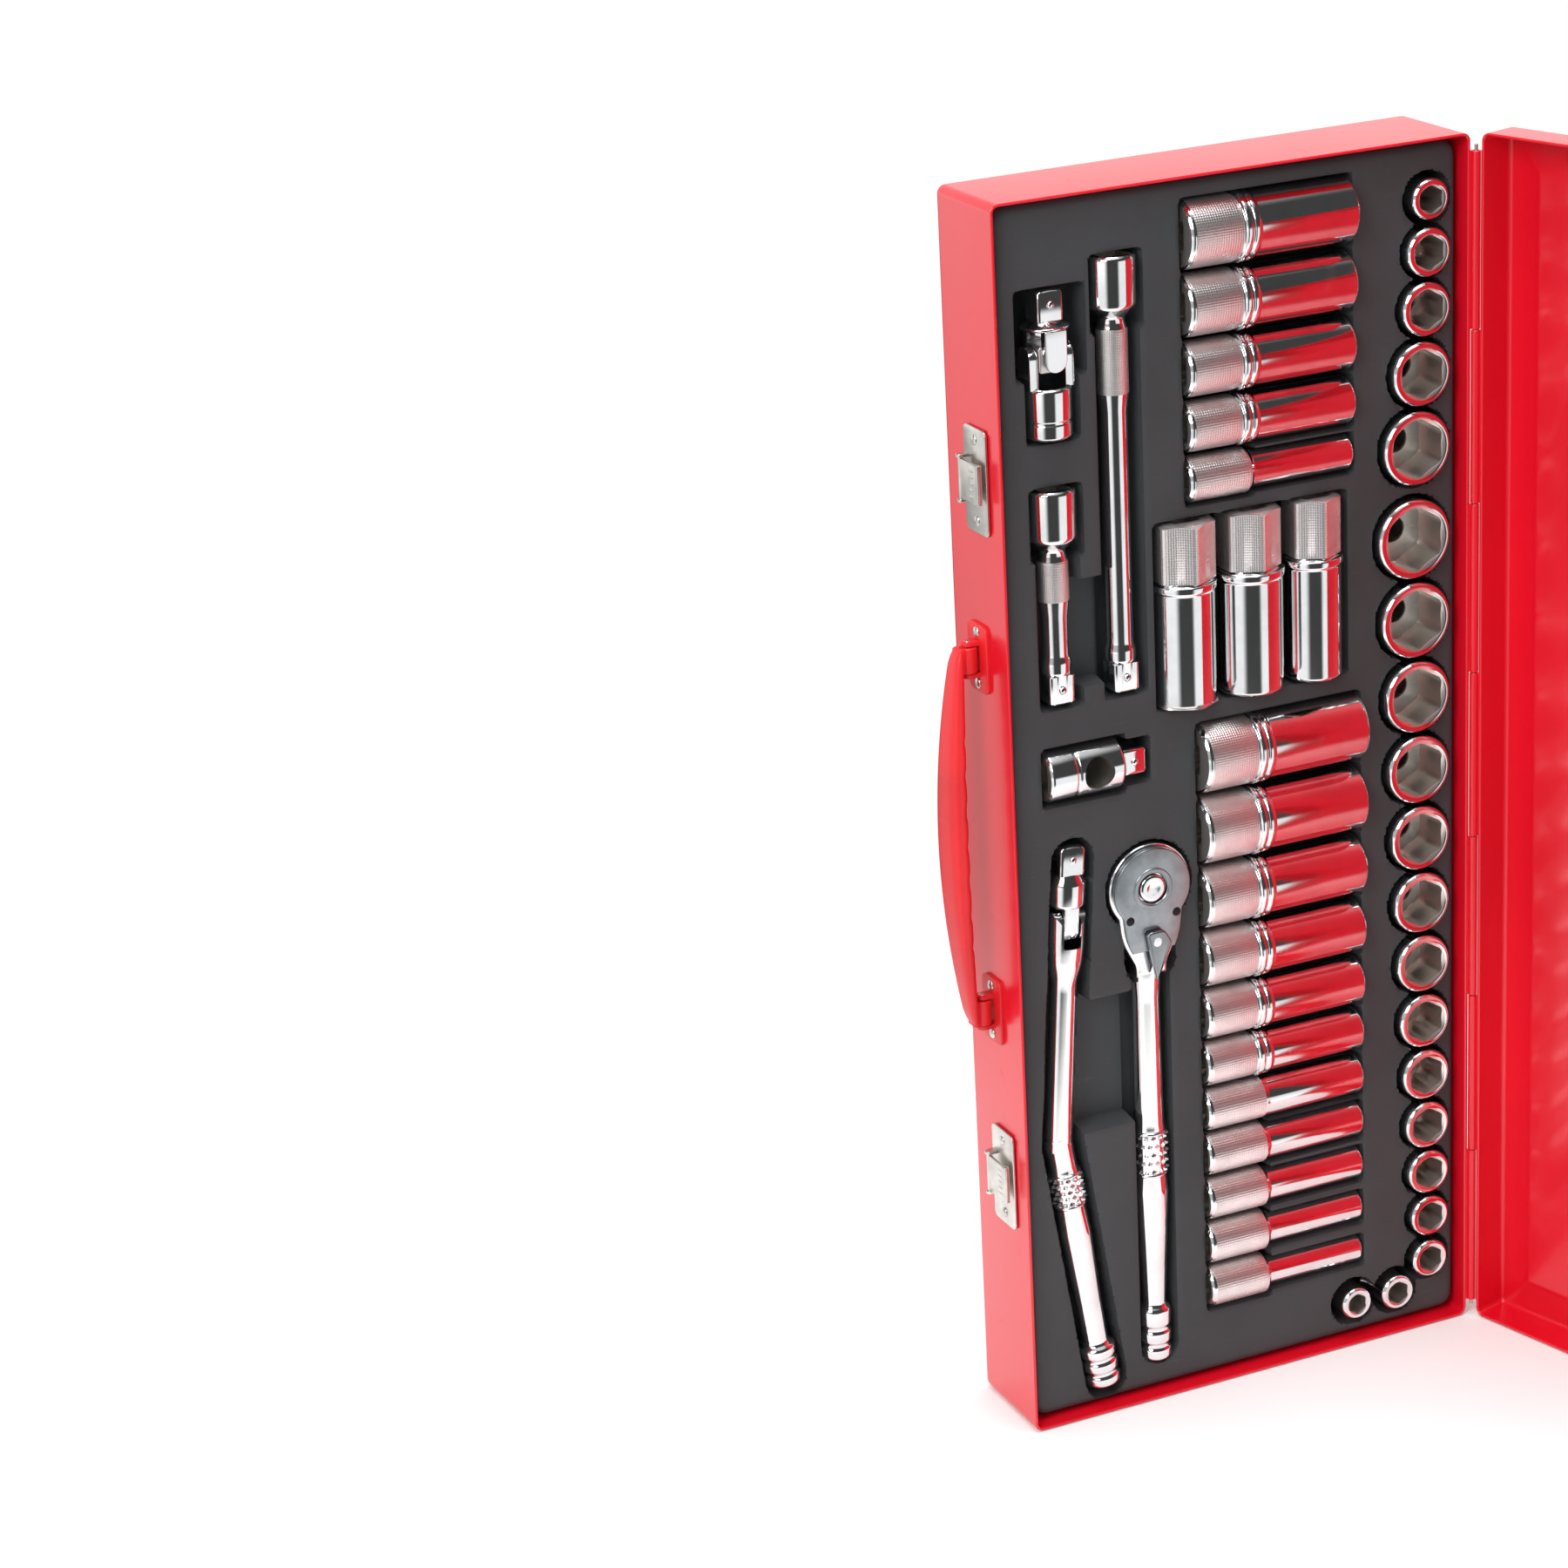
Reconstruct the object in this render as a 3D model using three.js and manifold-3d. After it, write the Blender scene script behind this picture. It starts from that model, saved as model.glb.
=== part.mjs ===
// A 3/8 inch drive socket wrench set in its hinged sheet-steel case.
//
// The case stands on one short end with the tray facing -Y and the lid open on its right.
// Units are millimetres and +Z is up. The origin is the middle of the tray's lower end face.
//
// Inside the file, places in the tray are given as (across, depth, height): across is measured
// from the tray's outer left face, depth from the rim plane into the tray and height from the
// lower end face. One group at the end moves that corner to its place about the origin.

import * as THREE from 'three';
import { mergeVertices } from 'three/addons/utils/BufferGeometryUtils.js';
import Module from 'manifold-3d';

const wasm = await Module();
wasm.setup();

// ---------------------------------------------------------------- driving dimensions

const CASE = {
  trayDepth: 40,
  lidDepth: 15,
  sheet: 1,
  cornerRadius: 3,
  openAngle: 106,
};

const GAP = 0.3;

const HINGE = {
  knuckleRadius: 1.6,
  knuckleWall: 0.7,
  knuckleCount: 7,
  endMargin: 6,
};

const LINER = {
  recess: 5,
  wallGap: 0.4,
  shoulder: 3.6,
  shoulderDrop: 6,
  cornerRadius: 5,
  pocketGap: 1,
  axisDepth: 9.5,
};

const DRIVE = {
  square: 9.5,
  tangLength: 10.5,
  recessDepth: 11,
  recessGap: 0.15,
  endDiameter: 15.8,
};

// Wrench sizes across the flats, each row from the top of the case to the bottom.
const SHALLOW = {
  inch: [8.73, 11.11, 12.7, 15.88, 19.05],
  metric: [21, 20, 19, 18, 17, 16, 15, 14, 13, 12, 11, 10, 9, 8, 7],
  length: 27,
  wall: 4.2,
  growth: 1.15,
  mouthDepth: 2,
  pitchGap: 1.55,
  groupGap: 4.8,
  edgeLand: 1.1,
  topLand: 5.5,
  footLand: 2.1,
  inCornerRow: 2,
  cornerTurn: 37,
};

const DEEP = {
  inch: [19.05, 16.67, 14.29, 12.7, 8.73],
  metric: [21, 20, 18, 16, 14, 12, 11, 10, 9, 8, 7],
  length: 63.5,
  wall: 4.5,
  driveLength: 24,
  ridge: 0.6,
  ridgeWidth: 4,
  pitchGap: 1.6,
  bottomLand: 22.1,
  topLand: 4.4,
  rowGap: 5.2,
};

const SPARK = {
  bodies: [22.6, 23.6, 20.6],
  hexes: [20.8, 20, 18],
  flats: [20.6, 18, 16],
  length: 64.5,
  hexLength: 21,
  collar: 0.7,
  pitchGap: 2.6,
  firstInset: 2.6,
  rowGap: 8.5,
};

const BAR = {
  endDiameter: 17,
  endLength: 18,
  shank: 10.6,
  neck: 5,
  shortLength: 75,
  longLength: 150,
};

const ADAPTER = {
  diameter: 18.6,
  bodyLength: 29,
  tang: 9.5,
  crossHole: 11.5,
  crossPlace: 18,
};

const JOINT = {
  diameter: 16.6,
  socketLength: 17.3,
  armWidth: 8,
  armInner: 5,
  reach: 9.5,
  pinRadius: 1.9,
  headLength: 3,
};

const FLEX = {
  upperLength: 80,
  lowerLength: 99,
  upperLean: 3.9,
  lowerLean: 8.4,
  clevis: 14.4,
  tongue: 6,
  pivotHeight: 7.6,
  barrel: 13.6,
  barrelLength: 12,
  pinRadius: 1.8,
  shaft: 10.6,
  collar: 12.6,
  collarHeight: 73.6,
  collarLength: 13.6,
  grip: 12,
  gripEnd: 9.8,
  knob: 14,
  knobLength: 17,
};

const RATCHET = {
  headRadius: 15.8,
  headHeight: 183,
  bodyThickness: 11.4,
  neckWidth: 12,
  neckHeight: 150,
  shaft: 11,
  collar: 12.8,
  collarHeight: 72.6,
  collarLength: 17.4,
  grip: 13,
  gripEnd: 9,
  knob: 12.2,
  knobLength: 21,
  coverThickness: 1.4,
  buttonRadius: 5,
  anvilRadius: 8,
  leverDrop: 19,
  leverLength: 25,
  leverWidth: 12,
  leverThickness: 2.4,
};

const LAYOUT = {
  columnLand: 9.1,
  barLand: 7.4,
  handleLand: 7.6,
  knobLand: 4,
  deepLand: 4.6,
  inchDeepShift: 2,
  shallowLand: 7.1,
  flexFoot: 3.3,
  ratchetFoot: 7.7,
  adapterLand: 16.6,
  adapterOffset: 7.25,
  shortBarLand: 15.7,
  jointLand: 17.4,
  hollowAboveBend: 27,
  hollowLength: 50,
  barHollowLength: 38,
};

const CARRY = {
  length: 128,
  eyeLength: 9,
  eyeRadius: 3.2,
  pinRadius: 1.2,
  earThickness: 1.6,
  earRadius: 2.2,
  plateThickness: 1.2,
  plateWidth: 14,
  plateLength: 24,
  gripWidth: 16,
  armWidth: 7,
  armThickness: 2.7,
  innerReach: 4.9,
  outerReach: 11.5,
};

const LATCH = {
  length: 36,
  width: 16,
  plate: 0.9,
  leverLength: 13.6,
  leverReach: 14,
  leverThickness: 1.4,
  standOff: 2.4,
  pinRadius: 0.9,
  earThickness: 1.1,
  rimInset: 8,
  fromEnd: 94,
  catchRise: 1.6,
  catchDepth: 4,
};

const SIDES = { round: 12, bore: 8, small: 8, head: 20 };

// ---------------------------------------------------------------- sizes worked out from them

const socketDiameter = (flats, wall) => flats * SHALLOW.growth + wall;
const shallowSizes = [...SHALLOW.inch, ...SHALLOW.metric];
const shallowMouths = shallowSizes.map((flats) => socketDiameter(flats, SHALLOW.wall));
const shallowOuters = shallowMouths.map((mouth) => Math.max(mouth, DRIVE.endDiameter));
const deepSizes = [...DEEP.inch, ...DEEP.metric];
const deepMouths = deepSizes.map(
  (flats) => Math.min(flats + DEEP.wall, socketDiameter(flats, SHALLOW.wall)),
);
const deepOuters = deepMouths.map((mouth) => Math.max(mouth, DRIVE.endDiameter));

const linerInset = CASE.sheet + LINER.wallGap + LINER.shoulder;
const tangWidth = DRIVE.square * Math.SQRT2;
const firstColumn = linerInset + LAYOUT.columnLand + BAR.endDiameter / 2;
const longBarColumn = firstColumn + BAR.endDiameter + LAYOUT.barLand;
const upperLean = THREE.MathUtils.degToRad(FLEX.upperLean);
const lowerLean = THREE.MathUtils.degToRad(FLEX.lowerLean);
const bendAcross = firstColumn - FLEX.upperLength * Math.sin(upperLean);
const flexKnobEdge = bendAcross + FLEX.lowerLength * Math.sin(lowerLean) + FLEX.knob / 2;
const ratchetColumn = Math.max(
  firstColumn + FLEX.clevis / 2 + LAYOUT.handleLand + RATCHET.headRadius,
  flexKnobEdge + LAYOUT.knobLand + RATCHET.grip / 2,
);
const metricDeepLeft = ratchetColumn + RATCHET.headRadius + LAYOUT.deepLand;
const inchDeepLeft = metricDeepLeft - LAYOUT.inchDeepShift;
const deepRight = metricDeepLeft + DEEP.length;
const widestShallow = Math.max(...shallowOuters);
const shallowEdge = deepRight + LAYOUT.shallowLand + widestShallow;
const caseWidth = shallowEdge + SHALLOW.edgeLand + linerInset;

// Heights of a stack of round pieces, from its lowest piece up, given as centre heights.
function stackUp(diameters, firstCentre, gapAt) {
  const centres = [firstCentre];
  for (let i = 1; i < diameters.length; i += 1) {
    const pitch = (diameters[i - 1] + diameters[i]) / 2 + gapAt(i);
    centres.push(centres[i - 1] + pitch);
  }
  return centres;
}

const cornerPitch = DRIVE.endDiameter + SHALLOW.pitchGap;
const cornerTurn = THREE.MathUtils.degToRad(SHALLOW.cornerTurn);
const cornerRowHeight = linerInset + SHALLOW.footLand + DRIVE.endDiameter / 2;
const inColumn = shallowSizes.length - SHALLOW.inCornerRow;
const columnFoot = cornerRowHeight + cornerPitch * Math.sin(cornerTurn);
const columnHeights = stackUp(
  shallowOuters.slice(0, inColumn).reverse(),
  columnFoot,
  (i) => (i === inColumn - SHALLOW.inch.length ? SHALLOW.groupGap : SHALLOW.pitchGap),
).reverse();
const shallowTop = columnHeights[0] + shallowOuters[0] / 2 + SHALLOW.topLand;

const metricDeepOuters = deepOuters.slice(DEEP.inch.length);
const inchDeepOuters = deepOuters.slice(0, DEEP.inch.length);
const metricDeepHeights = stackUp(
  [...metricDeepOuters].reverse(),
  linerInset + DEEP.bottomLand + DRIVE.endDiameter / 2,
  () => DEEP.pitchGap,
).reverse();
const sparkFoot = metricDeepHeights[0] + metricDeepOuters[0] / 2 + SPARK.rowGap;
const inchDeepHeights = stackUp(
  [...inchDeepOuters].reverse(),
  sparkFoot + SPARK.length + DEEP.rowGap + inchDeepOuters.at(-1) / 2,
  () => DEEP.pitchGap,
).reverse();
const deepHeights = [...inchDeepHeights, ...metricDeepHeights];
const deepTop = inchDeepHeights[0] + inchDeepOuters[0] / 2 + DEEP.topLand;

const flexFoot = linerInset + LAYOUT.flexFoot;
const flexBend = flexFoot + FLEX.lowerLength * Math.cos(lowerLean);
const flexHeadLength = FLEX.pivotHeight + FLEX.barrelLength + DRIVE.tangLength;
const flexTop = flexBend + (FLEX.upperLength + flexHeadLength) * Math.cos(upperLean);
const adapterHeight = flexTop + LAYOUT.adapterLand + ADAPTER.diameter / 2;
const adapterLeft = firstColumn - LAYOUT.adapterOffset;
const shortBarFoot = adapterHeight + ADAPTER.diameter / 2 + LAYOUT.shortBarLand;
const jointFoot = shortBarFoot + BAR.shortLength + LAYOUT.jointLand;
const jointLength = JOINT.socketLength + 2 * JOINT.reach + JOINT.headLength + DRIVE.tangLength;
const ratchetFoot = linerInset + LAYOUT.ratchetFoot;
const barTop = Math.max(jointFoot + jointLength, shortBarFoot + BAR.longLength);
const caseHeight = Math.max(shallowTop, deepTop, barTop) + linerInset;

// ---------------------------------------------------------------- materials

function finish(color, roughness, metalness) {
  return new THREE.MeshStandardMaterial({ color, roughness, metalness });
}

const MATERIAL = {
  redPaint: finish(0xd8172c, 0.35, 0.1),
  handleRed: finish(0xe0372f, 0.4, 0.05),
  liner: finish(0x3e4246, 0.75, 0),
  chrome: finish(0xd8dadc, 0.12, 1),
  satinChrome: finish(0xb9b4b3, 0.35, 1),
  zinc: finish(0xc9c6bd, 0.3, 1),
  coverGrey: finish(0x8d9294, 0.3, 0.9),
};

// ---------------------------------------------------------------- shape helpers

// Turns a closed three.js geometry into a manifold solid.
function toSolid(geometry) {
  const plain = geometry.clone();
  plain.deleteAttribute('normal');
  plain.deleteAttribute('uv');
  const merged = mergeVertices(plain, 1e-4);
  const index = merged.index.array;
  const kept = [];
  for (let i = 0; i < index.length; i += 3) {
    const [a, b, c] = [index[i], index[i + 1], index[i + 2]];
    if (a !== b && b !== c && c !== a) {
      kept.push(a, b, c);
    }
  }
  const mesh = new wasm.Mesh({
    numProp: 3,
    vertProperties: new Float32Array(merged.attributes.position.array),
    triVerts: new Uint32Array(kept),
  });
  return new wasm.Manifold(mesh);
}

function join(...pieces) {
  return pieces.reduce((whole, piece) => whole.add(piece));
}

function cut(whole, ...pieces) {
  return pieces.reduce((rest, piece) => rest.subtract(piece), whole);
}

// A box from one corner to the opposite one.
function block(low, high) {
  const size = high.map((value, i) => value - low[i]);
  const geometry = new THREE.BoxGeometry(...size);
  geometry.translate(...low.map((value, i) => value + size[i] / 2));
  return toSolid(geometry);
}

// A solid of revolution about Z. Each point of the profile is [radius, z], from the bottom up.
function turned(profile, sides = SIDES.round) {
  const bottom = profile[0][1];
  const top = profile.at(-1)[1];
  const points = [[0, bottom], ...profile, [0, top]];
  const geometry = new THREE.LatheGeometry(points.map(([r, z]) => new THREE.Vector2(r, z)), sides);
  geometry.rotateX(Math.PI / 2);
  return toSolid(geometry);
}

// A round or many-sided rod along Z between two heights.
function rod(radius, low, high, sides = SIDES.bore) {
  const geometry = new THREE.CylinderGeometry(radius, radius, high - low, sides);
  geometry.rotateX(Math.PI / 2);
  geometry.translate(0, 0, (low + high) / 2);
  return toSolid(geometry);
}

// A hexagonal or square rod along Z, sized across its flats.
function prism(flats, low, high, sides) {
  const geometry = new THREE.CylinderGeometry(
    flats / 2 / Math.cos(Math.PI / sides),
    flats / 2 / Math.cos(Math.PI / sides),
    high - low,
    sides,
  );
  geometry.rotateY(Math.PI / sides);
  geometry.rotateX(Math.PI / 2);
  geometry.translate(0, 0, (low + high) / 2);
  return toSolid(geometry);
}

const hexRod = (flats, low, high) => prism(flats, low, high, 6);
const squareRod = (flats, low, high) => prism(flats, low, high, 4);
const driveTang = (low, high) => squareRod(DRIVE.square, low, high);
const driveHole = (low, high) => squareRod(DRIVE.square + 2 * DRIVE.recessGap, low, high);

// Moves a solid that was made along Z so that it lies along X or Y.
const alongX = (solid) => solid.rotate([0, 90, 0]);
const alongY = (solid) => solid.rotate([-90, 0, 0]);

function roundedRectangle(left, low, right, high, radius) {
  const shape = new THREE.Shape();
  shape.absarc(right - radius, high - radius, radius, 0, Math.PI / 2);
  shape.absarc(left + radius, high - radius, radius, Math.PI / 2, Math.PI);
  shape.absarc(left + radius, low + radius, radius, Math.PI, 1.5 * Math.PI);
  shape.absarc(right - radius, low + radius, radius, 1.5 * Math.PI, 2 * Math.PI);
  return shape;
}

// A shape drawn in across and height, given thickness from one depth to another.
function plateAcross(shape, nearDepth, farDepth, curveSegments = 4) {
  const geometry = new THREE.ExtrudeGeometry(shape, {
    depth: farDepth - nearDepth,
    bevelEnabled: false,
    curveSegments,
  });
  geometry.rotateX(Math.PI / 2);
  geometry.translate(0, farDepth, 0);
  return toSolid(geometry);
}

function nodeMesh(name, solid, material, place = [0, 0, 0]) {
  const made = solid.getMesh();
  const geometry = new THREE.BufferGeometry();
  geometry.setAttribute('position', new THREE.BufferAttribute(made.vertProperties, 3));
  geometry.setIndex(new THREE.BufferAttribute(made.triVerts, 1));
  geometry.computeVertexNormals();
  const mesh = new THREE.Mesh(geometry, material);
  mesh.name = name;
  mesh.position.set(...place);
  return mesh;
}

const numbered = (stem, i) => `${stem}_${String(i + 1).padStart(2, '0')}`;

// ---------------------------------------------------------------- sockets

// The bore between the drive square and the wrench hexagon, a little smaller than either.
const boreRadius = (flats) => Math.min(flats, DRIVE.square) * 0.45;

// Stands on its drive end at z = 0 with the hexagon at the top.
function shallowSocket(flats, mouth, outer) {
  const top = SHALLOW.length;
  const chamfer = 0.8;
  const step = mouth < outer ? [[outer / 2, top / 2], [mouth / 2, top / 2 + 2]] : [];
  const body = turned([
    [outer / 2 - chamfer, 0],
    [outer / 2, chamfer],
    ...step,
    [mouth / 2, top - chamfer],
    [mouth / 2 - chamfer, top],
  ]);
  const hexFoot = DRIVE.recessDepth + 1;
  return cut(
    body,
    driveHole(-1, DRIVE.recessDepth),
    rod(boreRadius(flats), DRIVE.recessDepth - 0.5, hexFoot + 0.5),
    hexRod(flats, hexFoot, top + 1),
  );
}

// Lies with its drive end at z = 0: a knurled drive part, a ridge and a longer wrench part.
function deepSocket(flats, mouth, outer) {
  const top = DEEP.length;
  const chamfer = 0.8;
  const ridgeStart = DEEP.driveLength - DEEP.ridgeWidth;
  const ridge = mouth < outer ? [] : [[outer / 2 + DEEP.ridge, ridgeStart + DEEP.ridgeWidth / 2]];
  const body = turned([
    [outer / 2 - chamfer, 0],
    [outer / 2, chamfer],
    [outer / 2, ridgeStart],
    ...ridge,
    [mouth / 2, DEEP.driveLength],
    [mouth / 2, top - chamfer],
    [mouth / 2 - chamfer, top],
  ]);
  const hexFoot = top - DRIVE.recessDepth * 1.5;
  return cut(
    body,
    driveHole(-1, DRIVE.recessDepth),
    rod(boreRadius(flats), DRIVE.recessDepth - 0.5, hexFoot + 0.5),
    hexRod(flats, hexFoot, top + 1),
  );
}

// Stands with its mouth down: a round body, a collar and a hexagon with the drive square on top.
function sparkPlugSocket(body, hex, flats) {
  const top = SPARK.length;
  const hexFoot = top - SPARK.hexLength;
  const chamfer = 0.8;
  const round = turned([
    [body / 2 - chamfer, 0],
    [body / 2, chamfer],
    [body / 2, hexFoot - 3],
    [body / 2 + SPARK.collar, hexFoot - 2],
    [body / 2 + SPARK.collar, hexFoot],
    [hex / 2 - 1, hexFoot + 1],
  ]);
  return cut(
    join(round, hexRod(hex, hexFoot, top)),
    hexRod(flats, -1, top - DRIVE.recessDepth * 2),
    rod(boreRadius(flats), hexFoot - DRIVE.recessDepth, top - DRIVE.recessDepth + 0.5),
    driveHole(top - DRIVE.recessDepth, top + 1),
  );
}

const mouthDepth = SHALLOW.mouthDepth;
const baseDepth = mouthDepth + SHALLOW.length;

// Centres of the shallow sockets: a column along the hinge side, then a row round the corner.
function shallowPlaces() {
  const places = [];
  for (let i = 0; i < inColumn; i += 1) {
    places.push([shallowEdge - shallowOuters[i] / 2, columnHeights[i]]);
  }
  for (let i = 0; i < SHALLOW.inCornerRow; i += 1) {
    const run = cornerPitch * (Math.cos(cornerTurn) + i);
    places.push([places[inColumn - 1][0] - run, cornerRowHeight]);
  }
  return places;
}

function sparkPlaces() {
  const places = [];
  let left = metricDeepLeft - SPARK.bodies[0] / 2 - SPARK.firstInset;
  for (const body of SPARK.bodies) {
    places.push(left + body / 2);
    left += body + SPARK.pitchGap;
  }
  return places;
}

function socketMeshes() {
  const meshes = [];
  shallowPlaces().forEach(([across, height], i) => {
    const solid = shallowSocket(shallowSizes[i], shallowMouths[i], shallowOuters[i]);
    const place = [across, baseDepth, height];
    const mesh = nodeMesh(numbered('shallow_socket', i), solid, MATERIAL.chrome, place);
    mesh.rotation.x = Math.PI / 2;
    meshes.push(mesh);
  });
  deepHeights.forEach((height, i) => {
    const left = i < DEEP.inch.length ? inchDeepLeft : metricDeepLeft;
    const solid = deepSocket(deepSizes[i], deepMouths[i], deepOuters[i]);
    const place = [left, LINER.axisDepth, height];
    const mesh = nodeMesh(numbered('deep_socket', i), solid, MATERIAL.satinChrome, place);
    mesh.rotation.y = Math.PI / 2;
    meshes.push(mesh);
  });
  sparkPlaces().forEach((across, i) => {
    const solid = sparkPlugSocket(SPARK.bodies[i], SPARK.hexes[i], SPARK.flats[i]);
    const place = [across, LINER.axisDepth, sparkFoot];
    meshes.push(nodeMesh(numbered('spark_plug_socket', i), solid, MATERIAL.chrome, place));
  });
  return meshes;
}

// ---------------------------------------------------------------- bars and joints

// Stands on its drive tang with the socket end at the top.
function extensionBar(length) {
  const endFoot = length - BAR.endLength;
  const body = turned([
    [BAR.shank / 2 - 0.5, DRIVE.tangLength - 0.5],
    [BAR.shank / 2, DRIVE.tangLength + 1],
    [BAR.shank / 2, endFoot - BAR.neck],
    [BAR.endDiameter / 2, endFoot],
    [BAR.endDiameter / 2, length],
  ]);
  const tang = driveTang(0, DRIVE.tangLength + 1);
  return cut(join(body, tang), driveHole(length - DRIVE.recessDepth, length + 1));
}

// Lies with its socket end at z = 0, its tang at the far end and a hole across it for a bar.
function barAdapter() {
  const body = turned([
    [ADAPTER.diameter / 2, 0],
    [ADAPTER.diameter / 2, ADAPTER.bodyLength - 1],
    [ADAPTER.diameter / 2 - 1, ADAPTER.bodyLength],
  ]);
  const tang = driveTang(ADAPTER.bodyLength - 1, ADAPTER.bodyLength + ADAPTER.tang);
  const half = ADAPTER.diameter;
  const hole = alongY(rod(ADAPTER.crossHole / 2, -half, half, SIDES.round));
  return cut(
    join(body, tang),
    driveHole(-1, DRIVE.recessDepth),
    hole.translate([0, 0, ADAPTER.crossPlace]),
  );
}

const jointCentre = JOINT.socketLength + JOINT.reach;

// Two arms with rounded ends about the joint's centre, on both sides of it along X.
function yokeArms(towards) {
  const arms = [-1, 1].map((side) => {
    const inner = side * JOINT.armInner;
    const outer = side * JOINT.diameter / 2 * 0.97;
    const [left, right] = [Math.min(inner, outer), Math.max(inner, outer)];
    const round = alongX(rod(JOINT.armWidth / 2, left, right, SIDES.round));
    const reach = [0, towards * (JOINT.reach + 1)].sort((a, b) => a - b);
    const straight = block([left, -JOINT.armWidth / 2, reach[0]], [right, JOINT.armWidth / 2, reach[1]]);
    return join(round, straight);
  });
  const hole = alongX(rod(JOINT.pinRadius + GAP, -JOINT.diameter, JOINT.diameter));
  const round = rod(JOINT.diameter / 2, -JOINT.diameter, JOINT.diameter, SIDES.round);
  return cut(join(...arms), hole).intersect(round);
}

function jointSocketYoke() {
  const cylinder = rod(JOINT.diameter / 2, 0, JOINT.socketLength, SIDES.round);
  const arms = yokeArms(-1).translate([0, 0, jointCentre]);
  return cut(join(cylinder, arms), driveHole(-1, DRIVE.recessDepth));
}

function jointCross() {
  const half = JOINT.armInner - GAP;
  const reach = JOINT.diameter / 2 - 0.6;
  return join(
    block([-half, -half, -half], [half, half, half]),
    alongX(rod(JOINT.pinRadius, -reach, reach)),
    alongY(rod(JOINT.pinRadius, -reach, reach)),
  );
}

function jointDriveYoke() {
  const arms = yokeArms(1).rotate([0, 0, 90]);
  const top = JOINT.reach + JOINT.headLength;
  const head = turned([
    [JOINT.diameter / 2, JOINT.reach],
    [JOINT.diameter / 2, top - 2],
    [DRIVE.square / 2, top],
  ]);
  return join(arms, head, driveTang(top - 1, top + DRIVE.tangLength));
}

function barMeshes() {
  const depth = LINER.axisDepth;
  const adapter = nodeMesh('bar_adapter', barAdapter(), MATERIAL.chrome);
  adapter.rotation.y = Math.PI / 2;
  adapter.position.set(adapterLeft, depth, adapterHeight);
  const shortPlace = [firstColumn, depth, shortBarFoot];
  const longPlace = [longBarColumn, depth, shortBarFoot];
  const yokePlace = [firstColumn, depth, jointFoot];
  const centre = [firstColumn, depth, jointFoot + jointCentre];
  return [
    nodeMesh('extension_short', extensionBar(BAR.shortLength), MATERIAL.chrome, shortPlace),
    nodeMesh('extension_long', extensionBar(BAR.longLength), MATERIAL.chrome, longPlace),
    adapter,
    nodeMesh('joint_socket_yoke', jointSocketYoke(), MATERIAL.chrome, yokePlace),
    nodeMesh('joint_cross', jointCross(), MATERIAL.satinChrome, centre),
    nodeMesh('joint_drive_yoke', jointDriveYoke(), MATERIAL.chrome, centre),
  ];
}

// ---------------------------------------------------------------- flex handle

const clevisReach = 6.4;

// The lower, gripped part: its knob at z = 0 and the bend at its top.
function flexGrip() {
  const end = FLEX.lowerLength;
  return turned([
    [FLEX.knob / 2 - 1.5, 0],
    [FLEX.knob / 2, 2],
    [FLEX.knob / 2, FLEX.knobLength - 1.5],
    [FLEX.gripEnd / 2, FLEX.knobLength],
    [FLEX.grip / 2, FLEX.collarHeight - 1],
    [FLEX.collar / 2, FLEX.collarHeight],
    [FLEX.collar / 2, FLEX.collarHeight + FLEX.collarLength],
    [FLEX.shaft / 2, FLEX.collarHeight + FLEX.collarLength + 2],
    [FLEX.shaft / 2, end],
  ]);
}

// The upper part from the bend at z = 0 to the clevis and its pin.
function flexNeck() {
  const pivot = FLEX.upperLength;
  const crotch = pivot - clevisReach;
  const shaft = turned([
    [FLEX.shaft / 2, 0],
    [FLEX.shaft / 2, crotch - 16],
    [FLEX.clevis / 2, crotch - 5],
    [FLEX.clevis / 2, pivot],
  ]);
  const rounding = alongX(rod(clevisReach, -FLEX.clevis, FLEX.clevis, SIDES.round));
  const clevis = rod(FLEX.clevis / 2, pivot - 1, pivot + clevisReach, SIDES.round)
    .intersect(rounding.translate([0, 0, pivot]));
  const slot = FLEX.tongue / 2 + GAP;
  const throat = block([-slot, -FLEX.clevis, crotch], [slot, FLEX.clevis, pivot + FLEX.clevis]);
  const pin = alongX(rod(FLEX.pinRadius, -FLEX.clevis / 2 + 1, FLEX.clevis / 2 - 1));
  return join(cut(join(shaft, clevis), throat), pin.translate([0, 0, pivot]));
}

function flexHandle() {
  const bend = new THREE.SphereGeometry(FLEX.shaft / 2, SIDES.round, SIDES.small);
  return join(
    flexGrip().translate([0, 0, -FLEX.lowerLength]).rotate([0, -FLEX.lowerLean, 0]),
    toSolid(bend),
    flexNeck().rotate([0, FLEX.upperLean, 0]),
  );
}

// The drive head about its pivot at the origin, with the tang at the top.
function flexHead() {
  const barrelTop = FLEX.pivotHeight + FLEX.barrelLength;
  const half = FLEX.tongue / 2;
  const tongueRadius = clevisReach - 1.2;
  const tongue = join(
    alongX(rod(tongueRadius, -half, half, SIDES.round)),
    block([-half, -tongueRadius, 0], [half, tongueRadius, FLEX.pivotHeight + 1]),
  );
  const barrel = turned([
    [FLEX.barrel / 2 - 1, FLEX.pivotHeight],
    [FLEX.barrel / 2, FLEX.pivotHeight + 2],
    [FLEX.barrel / 2, barrelTop - 3],
    [DRIVE.square / 2 + 0.5, barrelTop],
  ]);
  const hole = alongX(rod(FLEX.pinRadius + GAP, -FLEX.tongue, FLEX.tongue));
  return cut(join(tongue, barrel, driveTang(barrelTop - 1, barrelTop + DRIVE.tangLength)), hole);
}

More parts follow.
